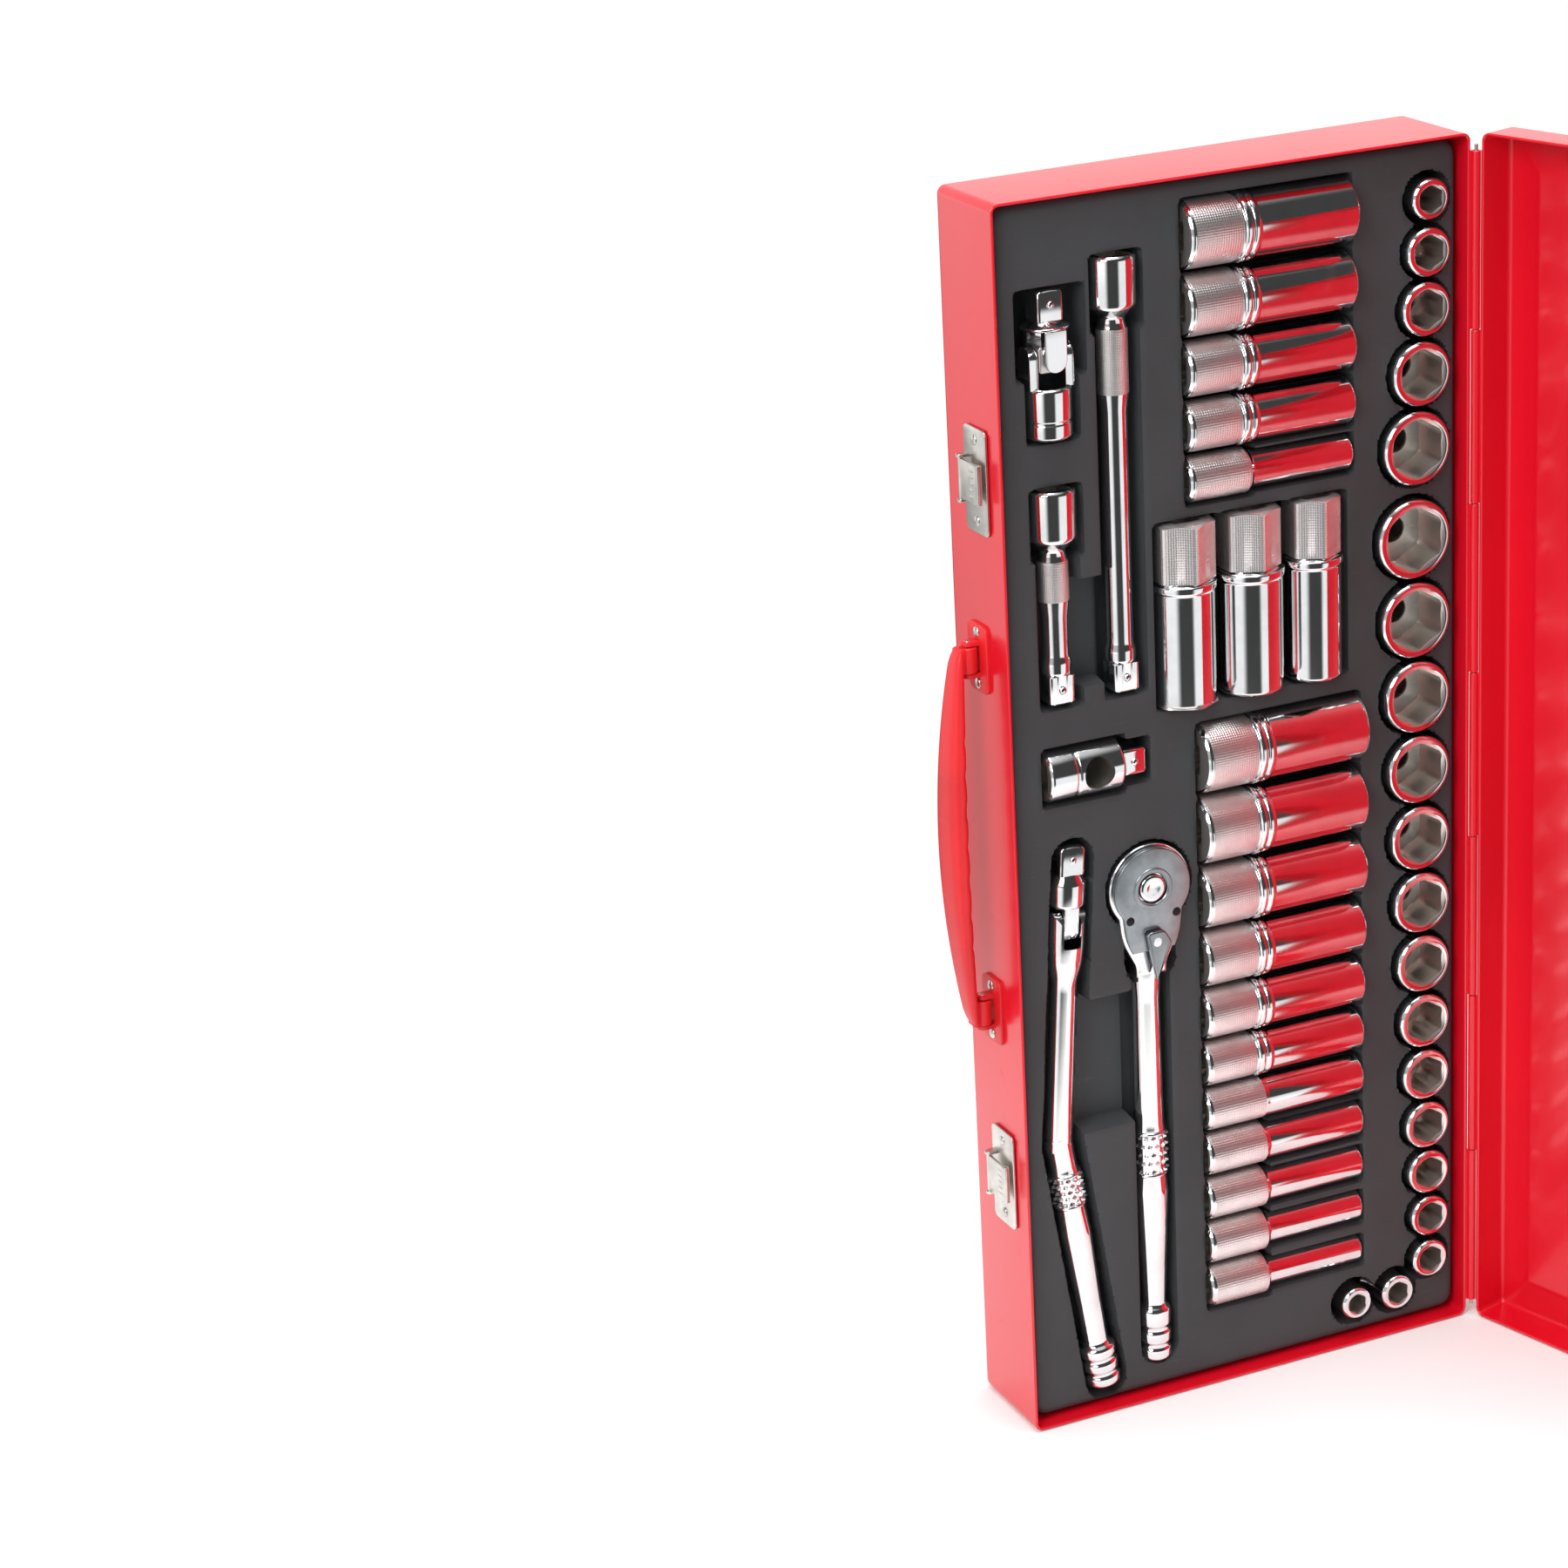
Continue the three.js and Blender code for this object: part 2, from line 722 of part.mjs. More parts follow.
const flexPivot = [
  firstColumn,
  LINER.axisDepth,
  flexBend + FLEX.upperLength * Math.cos(upperLean),
];

function flexMeshes() {
  const bendPlace = [bendAcross, LINER.axisDepth, flexBend];
  const handle = nodeMesh('flex_handle', flexHandle(), MATERIAL.chrome, bendPlace);
  const head = nodeMesh('flex_head', flexHead(), MATERIAL.chrome, flexPivot);
  head.rotation.y = upperLean;
  return [handle, head];
}

// ---------------------------------------------------------------- ratchet

const bodyNear = -RATCHET.bodyThickness / 2;
const bodyFar = RATCHET.bodyThickness / 2;
const leverPivot = RATCHET.headHeight - RATCHET.leverDrop;

// The head's outline seen from the front: a round end drawn in to the neck.
function ratchetOutline(inset) {
  const radius = RATCHET.headRadius - inset;
  const half = RATCHET.neckWidth / 2 - inset;
  const shape = new THREE.Shape();
  shape.moveTo(-half, RATCHET.neckHeight);
  shape.lineTo(half, RATCHET.neckHeight);
  shape.lineTo(radius * 0.75, leverPivot);
  shape.absarc(0, RATCHET.headHeight, radius, -0.22 * Math.PI, 1.22 * Math.PI);
  shape.lineTo(-radius * 0.75, leverPivot);
  return shape;
}

function ratchetBody() {
  const head = plateAcross(ratchetOutline(0), bodyNear, bodyFar, SIDES.head);
  const shaft = turned([
    [RATCHET.knob / 2 - 1.5, 0],
    [RATCHET.knob / 2, 2],
    [RATCHET.knob / 2, RATCHET.knobLength - 1.5],
    [RATCHET.gripEnd / 2, RATCHET.knobLength],
    [RATCHET.grip / 2, RATCHET.collarHeight - 1],
    [RATCHET.collar / 2, RATCHET.collarHeight],
    [RATCHET.collar / 2, RATCHET.collarHeight + RATCHET.collarLength],
    [RATCHET.shaft / 2, RATCHET.collarHeight + RATCHET.collarLength + 2],
    [RATCHET.shaft / 2, RATCHET.neckHeight + 8],
  ]);
  const boreRadius = (RATCHET.anvilRadius + GAP) / Math.cos(Math.PI / SIDES.round);
  const bore = alongY(rod(boreRadius, -20, 20, SIDES.round));
  return cut(join(head, shaft), bore.translate([0, 0, RATCHET.headHeight]));
}

function ratchetCover() {
  const near = bodyNear - GAP - RATCHET.coverThickness;
  const holeRadius = (RATCHET.buttonRadius + GAP) / Math.cos(Math.PI / SIDES.round);
  const hole = alongY(rod(holeRadius, -20, 20, SIDES.round));
  const plate = plateAcross(ratchetOutline(1.2), near, bodyNear - GAP, SIDES.head);
  const trimmed = cut(plate, block([-20, -20, 0], [20, 20, leverPivot - 6]));
  return cut(trimmed, hole.translate([0, 0, RATCHET.headHeight]));
}

// Turns about Y at the origin: the drive tang behind, the disc inside and the button in front.
function ratchetAnvil() {
  const front = bodyNear - GAP - RATCHET.coverThickness - 0.6;
  const disc = alongY(rod(RATCHET.anvilRadius, bodyNear + 0.2, bodyFar, SIDES.round));
  const button = alongY(rod(RATCHET.buttonRadius, front, bodyNear + 1, SIDES.round));
  return join(disc, button, alongY(driveTang(bodyFar - 1, bodyFar + DRIVE.tangLength)));
}

// A kite-shaped thumb lever about its pivot at the origin.
function ratchetLever() {
  const near = bodyNear - 2 * GAP - RATCHET.coverThickness - RATCHET.leverThickness;
  const shape = new THREE.Shape();
  shape.moveTo(-RATCHET.leverWidth / 2, -1);
  shape.lineTo(0, -RATCHET.leverLength * 0.6);
  shape.lineTo(RATCHET.leverWidth / 2, -1);
  shape.lineTo(RATCHET.leverWidth / 4, 4);
  shape.lineTo(-RATCHET.leverWidth / 4, 4);
  return plateAcross(shape, near, near + RATCHET.leverThickness);
}

function ratchetMeshes() {
  const depth = LINER.axisDepth;
  const foot = [ratchetColumn, depth, ratchetFoot];
  const centre = [ratchetColumn, depth, ratchetFoot + RATCHET.headHeight];
  const leverPlace = [ratchetColumn, depth, ratchetFoot + leverPivot];
  return [
    nodeMesh('ratchet_handle', ratchetBody(), MATERIAL.chrome, foot),
    nodeMesh('ratchet_cover', ratchetCover(), MATERIAL.coverGrey, foot),
    nodeMesh('ratchet_anvil', ratchetAnvil(), MATERIAL.chrome, centre),
    nodeMesh('ratchet_lever', ratchetLever(), MATERIAL.coverGrey, leverPlace),
  ];
}

// ---------------------------------------------------------------- liner

const pocketMouth = -1;

// A straight-sided pocket for something lying in the tray, from its front view box and its depth.
function pocket(left, low, right, high, floor) {
  const gap = LINER.pocketGap;
  return block([left - gap, pocketMouth, low - gap], [right + gap, floor + gap, high + gap]);
}

// A pocket along a lying tool whose axis is upright: [low, high, diameter] for each stretch.
function uprightPockets(across, foot, stretches) {
  return stretches.map(([low, high, diameter]) => pocket(
    across - diameter / 2,
    foot + low,
    across + diameter / 2,
    foot + high,
    LINER.axisDepth + diameter / 2,
  ));
}

function deepPockets() {
  return deepHeights.flatMap((height, i) => {
    const left = i < DEEP.inch.length ? inchDeepLeft : metricDeepLeft;
    const drive = deepOuters[i] / 2;
    const mouth = deepMouths[i] / 2;
    const depth = LINER.axisDepth;
    return [
      pocket(left, height - drive, left + DEEP.driveLength, height + drive, depth + drive),
      pocket(left, height - mouth, left + DEEP.length, height + mouth, depth + mouth),
    ];
  });
}

function shallowPockets() {
  return shallowPlaces().map(([across, height], i) => {
    const radius = shallowOuters[i] / 2 + LINER.pocketGap;
    const hole = rod(radius / Math.cos(Math.PI / SIDES.round), pocketMouth, baseDepth + GAP, SIDES.round);
    return hole.rotate([-90, 0, 0]).translate([across, 0, height]);
  });
}

function barPockets() {
  const swing = 15;
  return [
    ...uprightPockets(firstColumn, shortBarFoot, [
      [0, BAR.shortLength, tangWidth],
      [BAR.shortLength - BAR.endLength - BAR.neck, BAR.shortLength, BAR.endDiameter],
    ]),
    ...uprightPockets(longBarColumn, shortBarFoot, [
      [0, BAR.longLength, tangWidth],
      [BAR.longLength - BAR.endLength - BAR.neck, BAR.longLength, BAR.endDiameter],
    ]),
    ...uprightPockets(firstColumn, jointFoot, [
      [0, jointLength, JOINT.diameter],
      [jointCentre, jointLength, JOINT.diameter + swing / 2],
    ]),
    pocket(
      adapterLeft,
      adapterHeight - ADAPTER.diameter / 2,
      adapterLeft + ADAPTER.bodyLength,
      adapterHeight + ADAPTER.diameter / 2,
      LINER.axisDepth + ADAPTER.diameter / 2,
    ),
    pocket(
      adapterLeft,
      adapterHeight - tangWidth / 2,
      adapterLeft + ADAPTER.bodyLength + ADAPTER.tang,
      adapterHeight + tangWidth / 2,
      LINER.axisDepth + tangWidth / 2,
    ),
  ];
}

// A slanted pocket that follows one leg of the flex handle from the bend.
function legPocket(angle, low, high, diameter) {
  const half = diameter / 2 + LINER.pocketGap;
  const box = block([-half, pocketMouth - LINER.axisDepth, low], [half, half, high]);
  return box.rotate([0, angle, 0]).translate([bendAcross, LINER.axisDepth, flexBend]);
}

function handlePockets() {
  const gap = LINER.pocketGap;
  const knob = Math.max(FLEX.knob, FLEX.collar);
  const upperEnd = FLEX.upperLength + flexHeadLength + gap;
  const head = RATCHET.headRadius;
  const headTop = RATCHET.headHeight + RATCHET.headRadius;
  const anvilFloor = LINER.axisDepth + bodyFar + DRIVE.tangLength;
  return [
    legPocket(FLEX.upperLean, -4, upperEnd, FLEX.clevis),
    legPocket(-FLEX.lowerLean, -FLEX.lowerLength - gap, 4, knob),
    ...uprightPockets(ratchetColumn, ratchetFoot, [
      [0, RATCHET.neckHeight + 2, Math.max(RATCHET.grip, RATCHET.collar)],
    ]),
    pocket(
      ratchetColumn - head,
      ratchetFoot + RATCHET.neckHeight,
      ratchetColumn + head,
      ratchetFoot + headTop,
      LINER.axisDepth + bodyFar,
    ),
    pocket(
      ratchetColumn - RATCHET.anvilRadius,
      ratchetFoot + RATCHET.headHeight - RATCHET.anvilRadius,
      ratchetColumn + RATCHET.anvilRadius,
      ratchetFoot + RATCHET.headHeight + RATCHET.anvilRadius,
      anvilFloor,
    ),
  ];
}

// Wide hollows that let a finger under the tools beside them.
function fingerHollows() {
  const barMiddle = shortBarFoot + BAR.shortLength * 0.32;
  const barHalf = LAYOUT.barHollowLength / 2;
  const gripMiddle = flexBend + LAYOUT.hollowAboveBend;
  const gripHalf = LAYOUT.hollowLength / 2;
  const floor = LINER.axisDepth + BAR.shank / 2;
  return [
    pocket(firstColumn, barMiddle - barHalf, longBarColumn, barMiddle + barHalf, floor),
    pocket(bendAcross, gripMiddle - gripHalf, ratchetColumn, gripMiddle + gripHalf, floor),
  ];
}

function sparkPockets() {
  return sparkPlaces().map((across, i) => {
    const radius = SPARK.bodies[i] / 2 + SPARK.collar;
    const floor = LINER.axisDepth + radius;
    return pocket(across - radius, sparkFoot, across + radius, sparkFoot + SPARK.length, floor);
  });
}

// The liner's block with a rounded shoulder along its front edge, before the pockets.
function linerBlock() {
  const inset = linerInset;
  const outline = roundedRectangle(inset, inset, caseWidth - inset, caseHeight - inset, LINER.cornerRadius);
  const back = CASE.trayDepth - CASE.sheet - GAP;
  const geometry = new THREE.ExtrudeGeometry(outline, {
    depth: back - LINER.recess - LINER.shoulderDrop + 1,
    bevelEnabled: true,
    bevelThickness: LINER.shoulderDrop,
    bevelSize: LINER.shoulder,
    bevelSegments: 2,
    curveSegments: 3,
  });
  geometry.rotateX(Math.PI / 2);
  geometry.translate(0, back + 1, 0);
  const room = block([0, LINER.recess, 0], [caseWidth, back, caseHeight]);
  return toSolid(geometry).intersect(room);
}

function linerMesh() {
  const pockets = [
    ...shallowPockets(),
    ...deepPockets(),
    ...sparkPockets(),
    ...barPockets(),
    ...handlePockets(),
    ...fingerHollows(),
  ];
  return nodeMesh('liner', cut(linerBlock(), join(...pockets)), MATERIAL.liner);
}

// ---------------------------------------------------------------- case

const pinAcross = caseWidth + HINGE.knuckleRadius + GAP;
const pinDepth = -GAP;
const knuckleLength = (caseHeight - 2 * HINGE.endMargin) / HINGE.knuckleCount;
const hingePinRadius = HINGE.knuckleRadius - HINGE.knuckleWall - GAP;
const latchHeights = [caseHeight - LATCH.fromEnd, LATCH.fromEnd];

// A pressed pan between the rim at depth 0 and its panel, open on the rim side.
function pan(rimDepth, panelDepth) {
  const [near, far] = [rimDepth, panelDepth].sort((a, b) => a - b);
  const t = CASE.sheet;
  const outer = roundedRectangle(0, 0, caseWidth, caseHeight, CASE.cornerRadius);
  const inner = roundedRectangle(t, t, caseWidth - t, caseHeight - t, CASE.cornerRadius - t);
  const innerNear = rimDepth < panelDepth ? near - 1 : near + t;
  const innerFar = rimDepth < panelDepth ? far - t : far + 1;
  return cut(plateAcross(outer, near, far), plateAcross(inner, innerNear, innerFar));
}

// Every second knuckle of the hinge, rolled from the wall on one side of the rim plane.
function knuckles(first, side) {
  const rings = [];
  for (let i = first; i < HINGE.knuckleCount; i += 2) {
    const low = HINGE.endMargin + i * knuckleLength + GAP / 2;
    const high = low + knuckleLength - GAP;
    const web = [pinDepth + side * 0.2, pinDepth + side * HINGE.knuckleRadius].sort((a, b) => a - b);
    const ring = rod(HINGE.knuckleRadius, low, high).translate([pinAcross, pinDepth, 0]);
    const strap = block(
      [caseWidth - CASE.sheet / 2, web[0] + GAP * side, low],
      [pinAcross, web[1] + GAP * side, high],
    );
    rings.push(join(ring, strap));
  }
  const bore = rod(HINGE.knuckleRadius - HINGE.knuckleWall, 0, caseHeight);
  return cut(join(...rings), bore.translate([pinAcross, pinDepth, 0]));
}

const eyeHeights = [-1, 1].map((side) => caseHeight / 2 + side * CARRY.length / 2);
const eyeAcross = -CARRY.plateThickness - CARRY.eyeRadius - GAP;
const midDepth = CASE.trayDepth / 2;

// A plate on the left wall with two ears and the pin between them, which carries one handle end.
function handleBracket(height) {
  const half = CARRY.eyeLength / 2 + GAP;
  const ear = half + CARRY.earThickness;
  const plateHalf = CARRY.plateWidth / 2;
  const plate = block(
    [-CARRY.plateThickness, midDepth - plateHalf, height - CARRY.plateLength / 2],
    [CASE.sheet / 2, midDepth + plateHalf, height + CARRY.plateLength / 2],
  );
  const ears = [-ear, half].flatMap((low) => [
    block(
      [eyeAcross, midDepth - CARRY.earRadius, height + low],
      [0, midDepth + CARRY.earRadius, height + low + CARRY.earThickness],
    ),
    rod(CARRY.earRadius, height + low, height + low + CARRY.earThickness)
      .translate([eyeAcross, midDepth, 0]),
  ]);
  const pin = rod(CARRY.pinRadius, height - ear + 0.5, height + ear - 0.5);
  return join(plate, ...ears, pin.translate([eyeAcross, midDepth, 0]));
}

function trayMesh() {
  const solid = join(pan(0, CASE.trayDepth), knuckles(0, 1), ...eyeHeights.map(handleBracket));
  return nodeMesh('tray', solid, MATERIAL.redPaint);
}

// Hooks on the lid's free side that the latches pull on.
function lidCatch(height) {
  const half = LATCH.leverLength / 2;
  return block(
    [-LATCH.catchRise, -GAP - LATCH.catchDepth - 2, height - half],
    [CASE.sheet / 2, -GAP - 2, height + half],
  );
}

function lidMesh() {
  const solid = join(pan(-2 * GAP, -CASE.lidDepth), knuckles(1, -1), ...latchHeights.map(lidCatch));
  return nodeMesh('lid', solid.translate([-pinAcross, -pinDepth, 0]), MATERIAL.redPaint);
}

function hingePinMesh() {
  const low = HINGE.endMargin - 2;
  const solid = rod(hingePinRadius, low, caseHeight - low);
  return nodeMesh('hinge_pin', solid, MATERIAL.zinc, [pinAcross, pinDepth, 0]);
}

// ---------------------------------------------------------------- carry handle and latches

// A strip along Z whose two edges curve from one pair of distances at its ends to another midway.
function curvedStrip(endLow, endHigh, midLow, midHigh, half) {
  const shape = new THREE.Shape();
  shape.moveTo(endLow, -half);
  shape.quadraticCurveTo(2 * midLow - endLow, 0, endLow, half);
  shape.lineTo(endHigh, half);
  shape.quadraticCurveTo(2 * midHigh - endHigh, 0, endHigh, -half);
  return shape;
}

// The handle about its pivot axis: a bowed grip that narrows to an eye at each end.
function carryHandle() {
  const half = CARRY.length / 2;
  const end = half + CARRY.eyeLength / 2;
  const inner = CARRY.earRadius + GAP;
  const outer = inner + CARRY.armThickness;
  const side = curvedStrip(-outer, -inner, -CARRY.outerReach, -CARRY.innerReach, end);
  const [arm, grip] = [CARRY.armWidth / 2, CARRY.gripWidth / 2];
  const face = curvedStrip(-arm, arm, -grip, grip, end);
  const bowed = plateAcross(side, -CARRY.gripWidth, CARRY.gripWidth, SIDES.small);
  const widths = plateAcross(face, -CARRY.gripWidth, CARRY.gripWidth, SIDES.small).rotate([0, 0, 90]);
  const neckHalf = CARRY.eyeRadius - GAP;
  const eyeHalf = CARRY.eyeLength / 2;
  const eyes = [-half, half].flatMap((middle) => [
    rod(CARRY.eyeRadius, middle - eyeHalf, middle + eyeHalf),
    block([-outer, -neckHalf, middle - eyeHalf], [0, neckHalf, middle + eyeHalf]),
  ]);
  const bore = rod(CARRY.pinRadius + GAP, -end - 1, end + 1);
  return cut(join(bowed.intersect(widths), ...eyes), bore);
}

function carryMesh() {
  return nodeMesh('carry_handle', carryHandle(), MATERIAL.handleRed, [eyeAcross, midDepth, caseHeight / 2]);
}

const leverAxis = LATCH.rimInset + LATCH.width - 2;
const leverStand = -GAP - LATCH.plate - LATCH.standOff;

function latchPlate() {
  const half = LATCH.leverLength / 2 + GAP;
  const plate = block(
    [-GAP - LATCH.plate, LATCH.rimInset, -LATCH.length / 2],
    [-GAP, LATCH.rimInset + LATCH.width, LATCH.length / 2],
  );
  const ears = [-half - LATCH.earThickness, half].map((low) => block(
    [leverStand - 1.6, leverAxis - 1.8, low],
    [-GAP - 0.2, leverAxis + 1.8, low + LATCH.earThickness],
  ));
  const holes = rod(LATCH.pinRadius + GAP, -LATCH.length, LATCH.length);
  return cut(join(plate, ...ears), holes.translate([leverStand, leverAxis, 0]));
}

// The lever about its pin, lying over the plate with its finger end towards the rim.
function latchLever() {
  const half = LATCH.leverLength / 2;
  const end = -LATCH.leverReach + 2;
  const thick = LATCH.leverThickness / 2;
  return join(
    block([-thick, end, -half], [thick, 1, half]),
    block([-thick, end - 1.5, -half], [thick + 0.8, end + 1, half]),
    rod(LATCH.pinRadius, -half - LATCH.earThickness - GAP, half + LATCH.earThickness + GAP),
  );
}

function latchMeshes() {
  return ['upper', 'lower'].flatMap((name, i) => {
    const height = latchHeights[i];
    return [
      nodeMesh(`latch_plate_${name}`, latchPlate(), MATERIAL.zinc, [0, 0, height]),
      nodeMesh(`latch_lever_${name}`, latchLever(), MATERIAL.zinc, [leverStand, leverAxis, height]),
    ];
  });
}

// ---------------------------------------------------------------- the whole set

const tray = new THREE.Group();
tray.add(trayMesh(), linerMesh(), hingePinMesh(), carryMesh(), ...latchMeshes());
tray.add(...socketMeshes(), ...barMeshes(), ...flexMeshes(), ...ratchetMeshes());

const lid = new THREE.Group();
lid.add(lidMesh());
lid.position.set(pinAcross, pinDepth, 0);
lid.rotation.z = THREE.MathUtils.degToRad(CASE.openAngle);
tray.add(lid);
tray.position.set(-caseWidth / 2, -CASE.trayDepth / 2, 0);

const socketSet = new THREE.Group();
socketSet.add(tray);

export default socketSet;
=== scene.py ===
import math

import bmesh
import bpy
import numpy as np
from bpy.props import FloatProperty, FloatVectorProperty, IntProperty, PointerProperty
from mathutils import Matrix, Vector


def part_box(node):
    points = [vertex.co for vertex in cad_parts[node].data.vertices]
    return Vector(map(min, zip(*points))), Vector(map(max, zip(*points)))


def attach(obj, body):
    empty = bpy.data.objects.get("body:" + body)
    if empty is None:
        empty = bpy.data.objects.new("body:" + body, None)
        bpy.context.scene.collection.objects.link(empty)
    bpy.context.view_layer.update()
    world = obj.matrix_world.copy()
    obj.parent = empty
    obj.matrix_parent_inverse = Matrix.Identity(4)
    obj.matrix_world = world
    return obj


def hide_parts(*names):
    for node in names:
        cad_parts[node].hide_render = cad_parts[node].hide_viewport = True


bl_info = {
    "name": "Socket Wrench Set",
    "version": (1, 0, 0),
    "blender": (4, 5, 0),
    "location": "View3D > Sidebar > Socket Set",
    "description": "Builds a socket wrench set in its hinged steel case on the packed frame",
    "category": "Object",
}

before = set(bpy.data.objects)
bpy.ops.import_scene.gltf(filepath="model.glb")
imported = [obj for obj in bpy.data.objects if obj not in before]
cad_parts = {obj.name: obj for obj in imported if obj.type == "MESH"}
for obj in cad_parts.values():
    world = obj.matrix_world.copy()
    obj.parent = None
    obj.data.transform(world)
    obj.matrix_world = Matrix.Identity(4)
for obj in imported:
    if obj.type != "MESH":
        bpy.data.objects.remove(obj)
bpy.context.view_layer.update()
MM = 0.001
TURN = 2 * math.pi


def box_mm(node):
    """Lowest and highest corner of a CAD node in millimetres."""
    low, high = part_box(node)
    return np.array(low) / MM, np.array(high) / MM


# ---------------------------------------------------------------- sizes and colours


def length_prop(name, description, default):
    return FloatProperty(
        name=name, description=description, default=default * MM, min=0.0, subtype="DISTANCE", unit="LENGTH"
    )


def colour_prop(name, description, default):
    return FloatVectorProperty(
        name=name, description=description, default=default, size=3, min=0.0, max=1.0, subtype="COLOR"
    )


def angle_prop(name, description, degrees):
    return FloatProperty(
        name=name, description=description, default=math.radians(degrees), subtype="ANGLE", unit="ROTATION"
    )


class CaseSizes(bpy.types.PropertyGroup):
    sheet: length_prop("Sheet", "Thickness of the pressed steel", 1.0)
    liner_gap: length_prop("Liner gap", "Gap between the liner and the tray's wall", 0.4)
    corner: length_prop("Corner radius", "Radius of the case's corners", 3.0)
    hinge_margin: length_prop("Hinge margin", "Plain wall beyond each end of the hinge", 6.0)
    knuckle: length_prop("Knuckle radius", "Outside radius of the hinge's knuckles", 1.58)
    knuckle_bore: length_prop("Knuckle bore", "Inside radius of the hinge's knuckles", 0.9)
    knuckles: IntProperty(name="Knuckles", description="Knuckles along the hinge", default=7, min=3, max=31)
    fold: length_prop("Fold radius", "Radius of the fold round each panel", 2.2)
    lid_depth: length_prop("Lid depth", "Depth of the lid from rim to panel", 15.0)
    rim_gap: length_prop("Rim gap", "Gap between the rims when the lid is shut", 0.6)
    open_angle: angle_prop("Open angle", "Angle between the lid and the shut position", 106)
    red: colour_prop("Case red", "Colour of the enamel", (0.74, 0.003, 0.017))
    deep_red: colour_prop("Shaded red", "Colour of the enamel where it is thick", (0.67, 0.003, 0.015))
    handle_red: colour_prop("Handle red", "Colour of the carry handle", (0.70, 0.012, 0.018))


class LinerSizes(bpy.types.PropertyGroup):
    pitch: length_prop("Mesh pitch", "Spacing of the moulded surface's mesh", 1.0)
    recess: length_prop("Recess", "Depth of the liner's face below the rim", 5.0)
    shoulder: length_prop("Shoulder", "Width of the rounded edge", 3.6)
    drop: length_prop("Shoulder drop", "Height of the rounded edge", 6.0)
    clearance: length_prop("Pocket clearance", "Gap round each tool", 1.1)
    axis_depth: length_prop("Axis depth", "Depth of the tools' centre lines below the rim", 9.5)
    corner: length_prop("Liner corner", "Radius of the liner's corners", 6.6)
    grey: colour_prop("Liner grey", "Colour of the moulded liner", (0.040, 0.044, 0.047))


class ToolSizes(bpy.types.PropertyGroup):
    drive: length_prop("Drive square", "Size of the drive tangs across their flats", 9.5)
    flex_upper: length_prop("Flex neck", "Length of the flex handle from its bend to its pivot", 80.0)
    flex_lower: length_prop("Flex grip", "Length of the flex handle from its end to its bend", 99.0)
    upper_lean: angle_prop("Neck lean", "Lean of the flex handle's neck", 3.9)
    lower_lean: angle_prop("Grip lean", "Lean of the flex handle's grip", 8.4)
    segments: IntProperty(
        name="Segments", description="Points round each turned part", default=72, min=24, max=144
    )
    knurl_rows: IntProperty(
        name="Knurl rows", description="Rows of points on a knurled collar", default=5, min=3, max=30
    )
    knurl_count: IntProperty(
        name="Knurl points", description="Points round a knurled collar", default=14, min=8, max=60
    )
    polish: FloatProperty(
        name="Polish", description="Roughness of the polished chrome", default=0.07, min=0.0, max=1.0,
        subtype="FACTOR"
    )


SHALLOW_FLATS = (8.73, 11.11, 12.7, 15.88, 19.05, 21, 20, 19, 18, 17, 16, 15, 14, 13, 12, 11, 10, 9, 8, 7)
DEEP_FLATS = (19.05, 16.67, 14.29, 12.7, 8.73, 21, 20, 18, 16, 14, 12, 11, 10, 9, 8, 7)
SPARK_FLATS = (20.6, 18, 16)
SPARK_HEXES = (20.8, 20, 18)
SPARK_BODIES = (22.6, 23.6, 20.6)
ANGLE_SHARP = math.radians(38)
KNURL_TIP = 0.3
DRIVE_PLAY = 0.3
THROUGH = 20
TANG_LENGTH = 10.4
HEAD_RADIUS = 15.8
HEAD_HALF = 5.7
# Pockets of the lying tools, in millimetres: axis, stretches as (start, end, radius) and spare room
POCKETS = {
    "extension_long": ("Z", [(0, 150, 6.9), (126, 150, 8.5)], 0.4),
    "extension_short": ("Z", [(0, 75, 6.9), (52, 75, 8.5)], 0.4),
    "bar_adapter": ("X", [(0, 29, 9.3), (10, 38.5, 6.9)], 0.5),
    "joint_socket_yoke": ("Z", [(0, 30, 8.3)], 0.6),
    "joint_drive_yoke": ("Z", [(-2, 27, 12.0)], 0.0),
}
PLANES = {"XZ": (0, 2), "YZ": (1, 2), "XY": (0, 1)}


def case():
    return bpy.context.scene.case_sizes


def liner():
    return bpy.context.scene.liner_sizes


def tools():
    return bpy.context.scene.tool_sizes


def in_mm(value):
    return value / MM


# ---------------------------------------------------------------- finishes


class Wire:
    """One output of a shader node, with the arithmetic that the finishes use."""

    def __init__(self, finish, socket):
        self.finish = finish
        self.socket = socket

    def _math(self, operation, first, second):
        return self.finish.node("ShaderNodeMath", {"operation": operation}, {0: first, 1: second})

    def __add__(self, other):
        return self._math("ADD", self, other)

    def __radd__(self, other):
        return self._math("ADD", other, self)

    def __sub__(self, other):
        return self._math("SUBTRACT", self, other)

    def __rsub__(self, other):
        return self._math("SUBTRACT", other, self)

    def __mul__(self, other):
        return self._math("MULTIPLY", self, other)

    def __rmul__(self, other):
        return self._math("MULTIPLY", other, self)

    def sine(self):
        return self.finish.node("ShaderNodeMath", {"operation": "SINE"}, {0: self})

    def above(self, low, high):
        """0 below low, 1 above high and smooth between."""
        settings = {"interpolation_type": "SMOOTHSTEP"}
        return self.finish.node(
            "ShaderNodeMapRange", settings, {"Value": self, "From Min": low, "From Max": high}
        )


